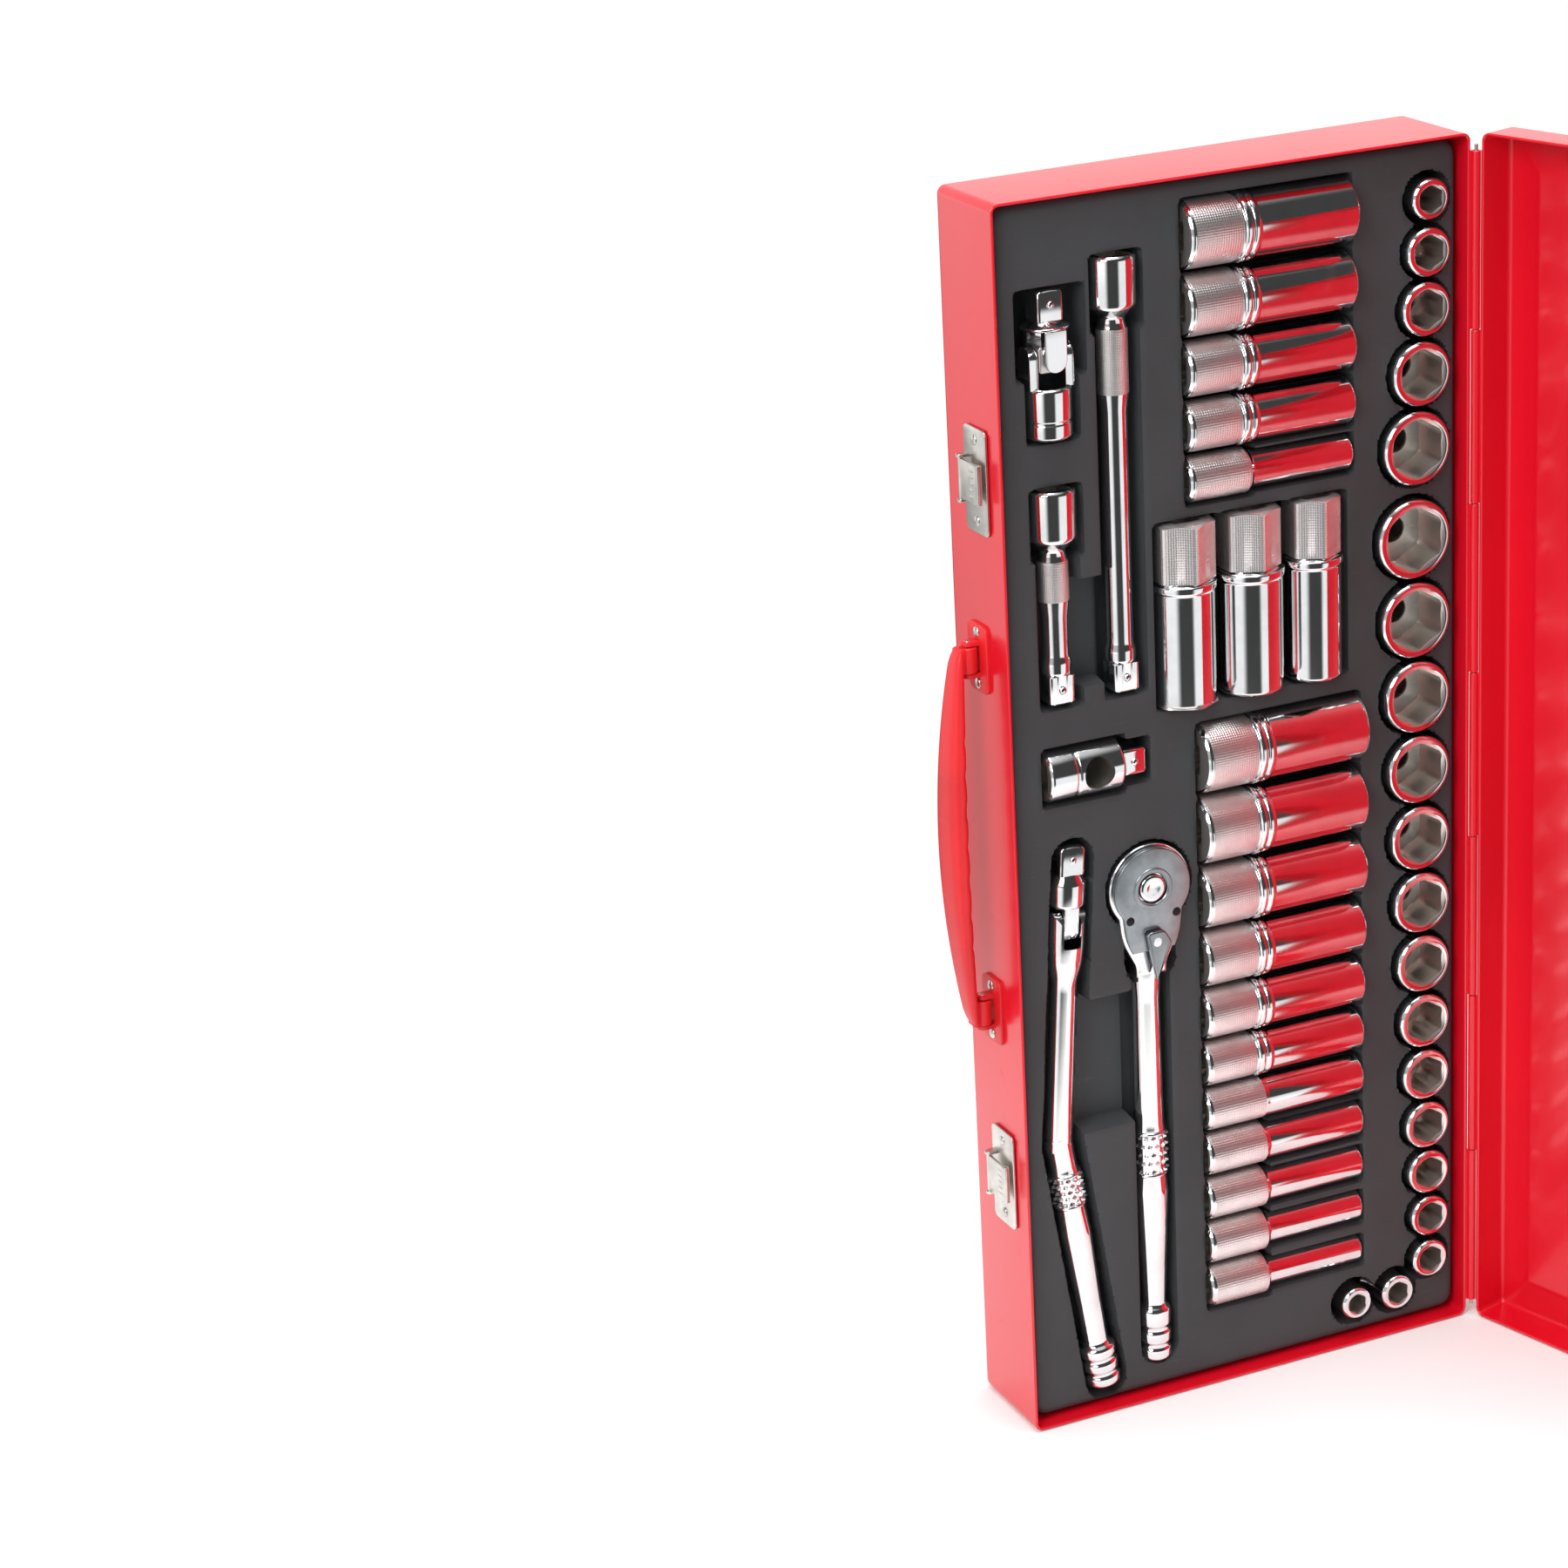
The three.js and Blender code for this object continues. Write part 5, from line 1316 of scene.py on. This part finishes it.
def ratchet():
    anvil_low, anvil_high = box_mm("ratchet_anvil")
    x = (anvil_low[0] + anvil_high[0]) / 2
    z = (anvil_low[2] + anvil_high[2]) / 2
    y = tray_frame()[2] + in_mm(liner().axis_depth)
    near, far = y - HEAD_HALF, y + HEAD_HALF
    foot = box_mm("ratchet_handle")[0][2]
    place = (x, y, foot)
    top = z - foot
    outline = [(x + a, z + b) for a, b in head_outline(0)]
    head = slab("ratchet_head_body", outline, near, far, 1.4, ["chrome"], "XZ", 4)
    bore = round_cutter("anvil_bore", 8.3, (x, y, z), "+Y")
    cut_with(head, bore)
    shaft = rounded(
        [
            (0, 3.4), (0, 5.6), (1.0, 6.1), (4.0, 6.1), (4.8, 5.5), (6.2, 5.5), (7.0, 6.1), (10.6, 6.1),
            (11.4, 5.5),
            (12.8, 5.5), (13.6, 6.1), (19.6, 6.1), (21.2, 4.4), (40, 5.2), (66, 6.4), (72.6, 5.7), (90, 5.7),
            (92.4, 5.4), (140, 5.0), (top - 34, 5.6), (top - 24, 5.6), (top - 20, 0.5),
        ],
        1.2,
        3,
    )
    bar = turned_piece("ratchet_bar", shaft, ["chrome"], place)
    parts = [head, bar, *collar("ratchet", 72.6, 17.4, 6.4, place, 0.0)]
    settle(join_pieces("ratchet_body", parts), "ratchet_handle", "ratchet_handle")

    cover_far = near - 0.3
    cover_near = cover_far - 1.4
    plate_outline = [(x + a, z + b) for a, b in head_outline(1.2) if b > -26]
    plate = slab("cover_plate", plate_outline, cover_near, cover_far, 0.45, ["cover"], "XZ")
    hole = round_cutter("button_hole", 5.6, (x, y, z), "+Y", material="dark")
    cut_with(plate, hole)
    ring = turned_piece(
        "cover_ring",
        rounded([(0.0, 5.7), (0.0, 7.6), (-0.45, 7.3), (-0.45, 6.0), (0.0, 5.7)], 0.2)[:-1],
        ["cover"], (x, cover_near, z), "+Y", hollow=True,
    )
    first = (x - 9.0, cover_near, z - 10.4)
    screws = heads("cover_screws", 2, first, (18, 0, 0), (1.6, 0.45, 1.6), "dark")
    settle(join_pieces("ratchet_plate", [plate, ring, screws]), "ratchet_handle", "ratchet_cover")

    disc = turned_piece("drive_disc", [(-5.4, 7.9), (5.6, 7.9)], ["chrome"], (x, y, z), "+Y")
    front = cover_near - 0.5 - y
    button = turned_piece(
        "release_button",
        rounded(
            [(front + 0.5, 0.2), (front, 2.8), (front - 0.05, 4.2), (front + 0.5, 5.0), (-4.8, 5.0)], 0.5, 3
        ),
        ["chrome"], (x, y, z), "+Y",
    )
    drive = turned_piece("ratchet_tang", tang_below(5.6 + 10.5, 11.0), ["chrome"], (x, y, z), "+Y")
    ball = tang_ball("ratchet_ball", (x, y + HEAD_HALF + 5.0, z), (1, 0, 0))
    settle(join_pieces("ratchet_drive", [disc, button, drive, ball]), "ratchet_anvil", "ratchet_anvil")

    lever_low, lever_high = box_mm("ratchet_lever")
    pivot_z = lever_high[2] - 4.0
    kite = rounded(
        [(-5.9, -1.0), (0, -14.8), (5.9, -1.0), (3.0, 3.9), (-3.0, 3.9), (-5.9, -1.0), (0, -14.8)], 1.3, 4
    )
    kite = kite[1:-6]
    shape = [(x + p[0], pivot_z + p[1]) for p in kite]
    lever = slab("lever_kite", shape, lever_low[1] + 0.1, lever_high[1], 0.7, ["cover"], "XZ", 4)
    spot = (x, lever_low[1] + 0.3, pivot_z)
    pivot = heads("lever_pivot", 1, spot, (0, 0, 1), (2.2, 0.3, 2.2), "chrome")
    settle(join_pieces("reversing_lever", [lever, pivot]), "ratchet_lever", "ratchet_lever")


# ---------------------------------------------------------------- liner


class Moulding:
    """The liner's face as a grid of depths below the rim, with pockets pressed into it."""

    def __init__(self):
        self.half, self.height, self.rim, self.panel = tray_frame()
        low, high = box_mm("liner")
        self.low, self.high = low, high
        pitch = in_mm(liner().pitch)
        nx, nz = int((high[0] - low[0]) / pitch), int((high[2] - low[2]) / pitch)
        self.x, self.z = np.meshgrid(
            np.linspace(low[0], high[0], nx + 1), np.linspace(low[2], high[2], nz + 1)
        )
        self.shapes = []

    def rectangle(self, left, low, right, high, floor, corner=2.0):
        self.shapes.append(("rectangle", (left, low, right, high, corner), floor))

    def well(self, cx, cz, radius, floor):
        self.shapes.append(("well", (cx, cz, radius), floor))

    def channel(self, start, end, radius, floor):
        self.shapes.append(("channel", (*start, *end, radius), floor))

    @staticmethod
    def distance(kind, data, x, z):
        if kind == "well":
            cx, cz, radius = data
            return np.hypot(x - cx, z - cz) - radius
        if kind == "channel":
            ax, az, bx, bz, radius = data
            run = (bx - ax) ** 2 + (bz - az) ** 2
            t = np.clip(((x - ax) * (bx - ax) + (z - az) * (bz - az)) / run, 0, 1)
            return np.hypot(x - ax - t * (bx - ax), z - az - t * (bz - az)) - radius
        left, low, right, high, corner = data
        dx = np.abs(x - (left + right) / 2) - (right - left) / 2 + corner
        dz = np.abs(z - (low + high) / 2) - (high - low) / 2 + corner
        return np.hypot(np.maximum(dx, 0), np.maximum(dz, 0)) + np.minimum(np.maximum(dx, dz), 0) - corner

    def nearest(self, x, z):
        found = np.full(x.shape, 1e3)
        for kind, data, _ in self.shapes:
            found = np.minimum(found, self.distance(kind, data, x, z))
        return found

    def depths(self, x, z):
        top = in_mm(liner().recess)
        depth = np.full(x.shape, top)
        for kind, data, floor in self.shapes:
            inside = -self.distance(kind, data, x, z)
            wall = np.clip(inside / 0.45, 0, 1)
            level = floor(x, z) if callable(floor) else floor
            depth = np.where(inside > 0, np.maximum(depth, top + (level - top) * wall), depth)
        lip = np.clip(1 - self.nearest(x, z) / 1.4, 0, 1)
        depth = np.where(depth <= top, top + 0.45 * lip**2, depth)
        radius = in_mm(liner().corner)
        edge = -self.distance(
            "rectangle", (self.low[0], self.low[2], self.high[0], self.high[2], radius), x, z
        )
        wide, drop = in_mm(liner().shoulder), in_mm(liner().drop)
        curve = 1 - np.sqrt(np.clip(1 - (np.clip(wide - edge, 0, wide) / wide) ** 2, 0, 1))
        return np.minimum(np.maximum(depth, top + drop * curve), self.panel - self.rim - 3)

    def snap(self):
        """Draws the mesh's points onto the pockets' outlines, so that each edge is one clean line."""
        pitch = in_mm(liner().pitch)
        step = 0.02
        for _ in range(2):
            d = self.nearest(self.x, self.z)
            gx = (self.nearest(self.x + step, self.z) - d) / step
            gz = (self.nearest(self.x, self.z + step) - d) / step
            close = (np.abs(d) < pitch * 0.52) & (self.x > self.low[0] + 2) & (self.x < self.high[0] - 2)
            self.x = np.where(close, self.x - d * gx, self.x)
            self.z = np.where(close, self.z - d * gz, self.z)
        radius = in_mm(liner().corner)
        data = (self.low[0], self.low[2], self.high[0], self.high[2], radius)
        d = self.distance("rectangle", data, self.x, self.z)
        gx = (self.distance("rectangle", data, self.x + step, self.z) - d) / step
        gz = (self.distance("rectangle", data, self.x, self.z + step) - d) / step
        self.x = np.where(d > 0, self.x - d * gx, self.x)
        self.z = np.where(d > 0, self.z - d * gz, self.z)

    def piece(self):
        self.snap()
        depth = self.depths(self.x, self.z)
        rows, cols = self.x.shape
        verts = np.stack([self.x, self.rim + depth, self.z], axis=2).reshape(-1, 3)
        index = np.arange(rows * cols).reshape(rows, cols)
        quads = np.stack(
            [index[:-1, :-1], index[:-1, 1:], index[1:, 1:], index[1:, :-1]], axis=2
        ).reshape(-1, 4)
        border = [*index[0, :], *index[1:, -1], *index[-1, -2::-1], *index[-2:0:-1, 0]]
        back = verts[border].copy()
        back[:, 1] = self.high[1] - 0.2
        start, n = len(verts), len(border)
        verts = np.vstack([verts, back])
        faces = [tuple(q) for q in quads]
        faces += [(border[(k + 1) % n], border[k], start + k, start + (k + 1) % n) for k in range(n)]
        faces.append(tuple(start + k for k in range(n))[::-1])
        return add_piece("moulded_liner", verts, faces, [0] * len(faces), ["liner_grey"])


def lying_pocket(mould, node, axis, stretches, spare=0.0):
    """A round-bottomed pocket under a lying tool; stretches are (start, end, radius) along it."""
    low, high = box_mm(node)
    middle = (low + high) / 2
    gap, depth = in_mm(liner().clearance) + spare, in_mm(liner().axis_depth)
    for start, end, radius in stretches:
        r = radius + gap
        if axis == "X":
            floor = lambda x, z, c=middle[2], r=r: depth + np.sqrt(np.clip(r * r - (z - c) ** 2, 0, None))
            mould.rectangle(low[0] + start - gap, middle[2] - r, low[0] + end + gap, middle[2] + r, floor)
        else:
            floor = lambda x, z, c=middle[0], r=r: depth + np.sqrt(np.clip(r * r - (x - c) ** 2, 0, None))
            mould.rectangle(middle[0] - r, low[2] + start - gap, middle[0] + r, low[2] + end + gap, floor)


def build_liner():
    mould = Moulding()
    depth, gap = in_mm(liner().axis_depth), in_mm(liner().clearance)
    for i in range(len(SHALLOW_FLATS)):
        low, high = box_mm(f"shallow_socket_{i + 1:02d}")
        radius = (high[0] - low[0]) / 2 + 1.5
        mould.well((low[0] + high[0]) / 2, (low[2] + high[2]) / 2, radius, high[1] - mould.rim + 0.4)
    for i, flats in enumerate(DEEP_FLATS):
        mouth = min(flats + 4.5, flats * 1.15 + 4.2) / 2
        lying_pocket(mould, f"deep_socket_{i + 1:02d}", "X", [(0, 25, max(mouth, 7.9)), (0, 63.5, mouth)])
    for i in range(3):
        lying_pocket(mould, f"spark_plug_socket_{i + 1:02d}", "Z", [(0, 64.5, SPARK_BODIES[i] / 2 + 0.6)])
    for node, (axis, stretches, spare) in POCKETS.items():
        lying_pocket(mould, node, axis, stretches, spare)
    bend_x, _, bend_z = flex_places()[0]
    bend = (bend_x, bend_z)
    upper, lower = tools().upper_lean, tools().lower_lean
    reach, end = in_mm(tools().flex_upper) + 25.0, in_mm(tools().flex_lower) - 3.0
    top = (bend_x + reach * math.sin(upper), bend_z + reach * math.cos(upper))
    foot = (bend_x + end * math.sin(lower), bend_z - end * math.cos(lower))
    mould.channel(bend, top, 7.2 + gap, depth + 8.3)
    mould.channel(bend, foot, 7.2 + gap, depth + 8.0)
    low, high = box_mm("ratchet_handle")
    anvil_low, anvil_high = box_mm("ratchet_anvil")
    cx, cz = (anvil_low[0] + anvil_high[0]) / 2, (anvil_low[2] + anvil_high[2]) / 2
    mould.well(cx, cz, HEAD_RADIUS + gap, depth + 6.7)
    mould.well(cx, cz, 8.9, anvil_high[1] - mould.rim + 0.6)
    mould.channel((cx, cz - 4), (cx, cz - 27), 9.0 + gap, depth + 6.7)
    mould.channel((cx, low[2] + 6), (cx, cz - 20), 6.5 + gap, depth + 7.4)
    ext_low, ext_high = box_mm("extension_short")
    long_low, long_high = box_mm("extension_long")
    middle = ext_low[2] + 24
    mould.rectangle(
        (ext_low[0] + ext_high[0]) / 2, middle - 19, (long_low[0] + long_high[0]) / 2, middle + 19,
        depth + 5.3, 3
    )
    grip = bend_z + 27
    mould.rectangle(bend_x, grip - 25, cx, grip + 25, depth + 5.3, 3)
    piece = mould.piece()
    settle(piece, "tray", "liner")


# ---------------------------------------------------------------- stage


def build_world(scene):
    """White to the eye and pale to matt surfaces; polished metal sees a dark room with a white table."""
    world = bpy.data.worlds.new("studio")
    scene.world = world
    world.use_nodes = True
    nodes, links = world.node_tree.nodes, world.node_tree.links
    nodes.clear()

    def put(kind, settings=None, values=None):
        made = nodes.new(kind)
        for key, value in (settings or {}).items():
            setattr(made, key, value)
        for key, value in (values or {}).items():
            if isinstance(value, bpy.types.NodeSocket):
                links.new(value, made.inputs[key])
            else:
                made.inputs[key].default_value = value
        return made

    def calc(operation, *values):
        return put("ShaderNodeMath", {"operation": operation}, dict(enumerate(values))).outputs[0]

    def ramp(value, low, high):
        smooth = {"interpolation_type": "SMOOTHSTEP"}
        return put("ShaderNodeMapRange", smooth, {0: value, 1: low, 2: high}).outputs[0]

    def bell(value, low, rise, fall, high):
        return calc("SUBTRACT", ramp(value, low, rise), ramp(value, fall, high))

    direction = put("ShaderNodeTexCoord").outputs["Generated"]
    split = put("ShaderNodeSeparateXYZ", {}, {0: direction})
    x, y, z = split.outputs
    around = calc("ARCTAN2", x, calc("MULTIPLY", y, -1.0))
    table = bell(z, -1.2, -1.1, -0.12, 0.02)
    front = bell(around, 0.10, 0.30, 1.9, 2.2)
    left = calc("MAXIMUM", bell(around, -2.3, -2.05, -0.95, -0.60), bell(around, -2.88, -2.76, -2.50, -2.38))
    back = ramp(calc("ABSOLUTE", around), 2.0, 2.5)
    overhead = ramp(z, 0.72, 0.95)
    side = bell(z, -0.3, 0.0, 0.45, 0.6)
    shine = calc("MULTIPLY", table, calc("ADD", front, left))
    shine = calc("ADD", calc("MULTIPLY", shine, 0.95), calc("MULTIPLY", overhead, 0.65))
    shine = calc("ADD", shine, calc("MULTIPLY", side, calc("MAXIMUM", calc("MULTIPLY", left, 0.45), back)))
    shine = calc("ADD", shine, 0.05)
    studio = put("ShaderNodeBackground", {}, {"Strength": shine})
    soft = put("ShaderNodeBackground", {}, {"Strength": 0.80})
    plain = put("ShaderNodeBackground", {}, {"Strength": 1.0})
    for made in (studio, soft, plain):
        made.inputs[0].default_value = (1, 1, 1, 1)
    path = put("ShaderNodeLightPath")
    matt = put(
        "ShaderNodeMixShader", {},
        {0: path.outputs["Is Glossy Ray"], 1: soft.outputs[0], 2: studio.outputs[0]}
    )
    seen = put(
        "ShaderNodeMixShader", {}, {0: path.outputs["Is Camera Ray"], 1: matt.outputs[0], 2: plain.outputs[0]}
    )
    put("ShaderNodeOutputWorld", {}, {0: seen.outputs[0]})


def build_stage():
    scene = bpy.context.scene
    camera = bpy.data.cameras.new("camera")
    camera.lens, camera.sensor_width = 92.18, 36.0
    camera.clip_start, camera.clip_end = 0.05, 30.0
    eye = bpy.data.objects.new("camera", camera)
    half, _, rim, _ = tray_frame()
    eye.location = Vector((-552.98 - half, -1126.04 + rim, 712.88)) * MM
    eye.rotation_euler = [math.radians(a) for a in (69.6833, 3.1694, -23.8666)]
    scene.collection.objects.link(eye)
    scene.camera = eye

    floor = bpy.data.meshes.new("floor")
    reach, drop, around = 0.95, -0.0004, 64
    angles = [k / around * TURN for k in range(around)]
    rim_points = [(reach * math.cos(a), reach * math.sin(a), drop) for a in angles]
    floor.from_pydata(rim_points, [], [tuple(range(around))])
    ground = bpy.data.objects.new("floor", floor)
    pale = Finish("floor_pale")
    place = pale.place()
    cloud = pale.noise(place, 3.0, 2.0)
    centre = pale.node("ShaderNodeVectorMath", {"operation": "LENGTH"}, {0: place}, output=1)
    floor.materials.append(
        pale.set(
            Base_Color=pale.blend(cloud, (0.93, 0.93, 0.93), (0.95, 0.95, 0.95)),
            Roughness=0.8,
            Alpha=1.0 - centre.above(0.26, 0.55),
        )
    )
    scene.collection.objects.link(ground)

    def lamp(name, place, target, size, power, colour=(1, 1, 1)):
        data = bpy.data.lights.new(name, "AREA")
        data.shape, data.size, data.size_y = "RECTANGLE", size[0], size[1]
        data.energy, data.color = power, colour
        made = bpy.data.objects.new(name, data)
        made.location = place
        made.rotation_euler = (Vector(target) - Vector(place)).to_track_quat("-Z", "Y").to_euler()
        scene.collection.objects.link(made)

    lamp("key", (-1.5, -1.0, 1.5), (0, 0, 0.22), (0.8, 1.0), 22)
    lamp("top", (0.0, -0.1, 1.8), (0, 0, 0.2), (0.8, 0.8), 16)
    build_world(scene)
    scene.view_settings.view_transform = "Standard"
    scene.view_settings.look = "None"


# ---------------------------------------------------------------- operators


class BuildStep:
    bl_options = {"REGISTER"}

    def execute(self, context):
        self.make()
        return {"FINISHED"}


class SOCKETSET_OT_stage(BuildStep, bpy.types.Operator):
    """Make the floor, the lights, the world and the camera"""

    bl_idname = "socketset.stage"
    bl_label = "Stage"

    def make(self):
        build_stage()


class SOCKETSET_OT_case(BuildStep, bpy.types.Operator):
    """Make the tray, the lid and their hinge"""

    bl_idname = "socketset.case"
    bl_label = "Case"

    def make(self):
        build_tray()
        build_lid()
        build_hinge_pin()


class SOCKETSET_OT_handle(BuildStep, bpy.types.Operator):
    """Make the carry handle and its brackets"""

    bl_idname = "socketset.handle"
    bl_label = "Carry Handle"

    def make(self):
        build_handle()
        build_brackets()


class SOCKETSET_OT_latches(BuildStep, bpy.types.Operator):
    """Make the two latches"""

    bl_idname = "socketset.latches"
    bl_label = "Latches"

    def make(self):
        build_latch("upper")
        build_latch("lower")


class SOCKETSET_OT_liner(BuildStep, bpy.types.Operator):
    """Mould the liner round the tools"""

    bl_idname = "socketset.liner"
    bl_label = "Liner"

    def make(self):
        build_liner()


class SOCKETSET_OT_shallow(BuildStep, bpy.types.Operator):
    """Make the shallow sockets"""

    bl_idname = "socketset.shallow"
    bl_label = "Shallow Sockets"

    def make(self):
        for i in range(len(SHALLOW_FLATS)):
            shallow_socket(i)


class SOCKETSET_OT_deep(BuildStep, bpy.types.Operator):
    """Make the deep sockets and the spark plug sockets"""

    bl_idname = "socketset.deep"
    bl_label = "Deep Sockets"

    def make(self):
        for i in range(len(DEEP_FLATS)):
            deep_socket(i)
        for i in range(len(SPARK_FLATS)):
            spark_socket(i)


class SOCKETSET_OT_bars(BuildStep, bpy.types.Operator):
    """Make the extensions, the adapter and the universal joint"""

    bl_idname = "socketset.bars"
    bl_label = "Bars and Joint"

    def make(self):
        extension("extension_long", "long_bar")
        extension("extension_short", "short_bar")
        adapter()
        universal_joint()


class SOCKETSET_OT_flex(BuildStep, bpy.types.Operator):
    """Make the flex-head handle"""

    bl_idname = "socketset.flex"
    bl_label = "Flex Handle"

    def make(self):
        flex_handle()


class SOCKETSET_OT_ratchet(BuildStep, bpy.types.Operator):
    """Make the ratchet with its cover, drive and lever"""

    bl_idname = "socketset.ratchet"
    bl_label = "Ratchet"

    def make(self):
        ratchet()


OPERATORS = (
    SOCKETSET_OT_stage,
    SOCKETSET_OT_case,
    SOCKETSET_OT_handle,
    SOCKETSET_OT_latches,
    SOCKETSET_OT_liner,
    SOCKETSET_OT_shallow,
    SOCKETSET_OT_deep,
    SOCKETSET_OT_bars,
    SOCKETSET_OT_flex,
    SOCKETSET_OT_ratchet,
)


class SOCKETSET_PT_panel(bpy.types.Panel):
    bl_label = "Socket Set"
    bl_idname = "SOCKETSET_PT_panel"
    bl_space_type = "VIEW_3D"
    bl_region_type = "UI"
    bl_category = "Socket Set"

    def draw(self, context):
        for made in OPERATORS:
            self.layout.operator(made.bl_idname)
        for sizes in (context.scene.case_sizes, context.scene.liner_sizes, context.scene.tool_sizes):
            for name in sizes.__annotations__:
                self.layout.prop(sizes, name)


CLASSES = (CaseSizes, LinerSizes, ToolSizes, *OPERATORS, SOCKETSET_PT_panel)


def register():
    for made in CLASSES:
        bpy.utils.register_class(made)
    bpy.types.Scene.case_sizes = PointerProperty(type=CaseSizes)
    bpy.types.Scene.liner_sizes = PointerProperty(type=LinerSizes)
    bpy.types.Scene.tool_sizes = PointerProperty(type=ToolSizes)


def unregister():
    del bpy.types.Scene.tool_sizes
    del bpy.types.Scene.liner_sizes
    del bpy.types.Scene.case_sizes
    for made in reversed(CLASSES):
        bpy.utils.unregister_class(made)


def main():
    register()
    for made in OPERATORS:
        group, name = made.bl_idname.split(".")
        getattr(getattr(bpy.ops, group), name)()


if __name__ == "__main__":
    main()
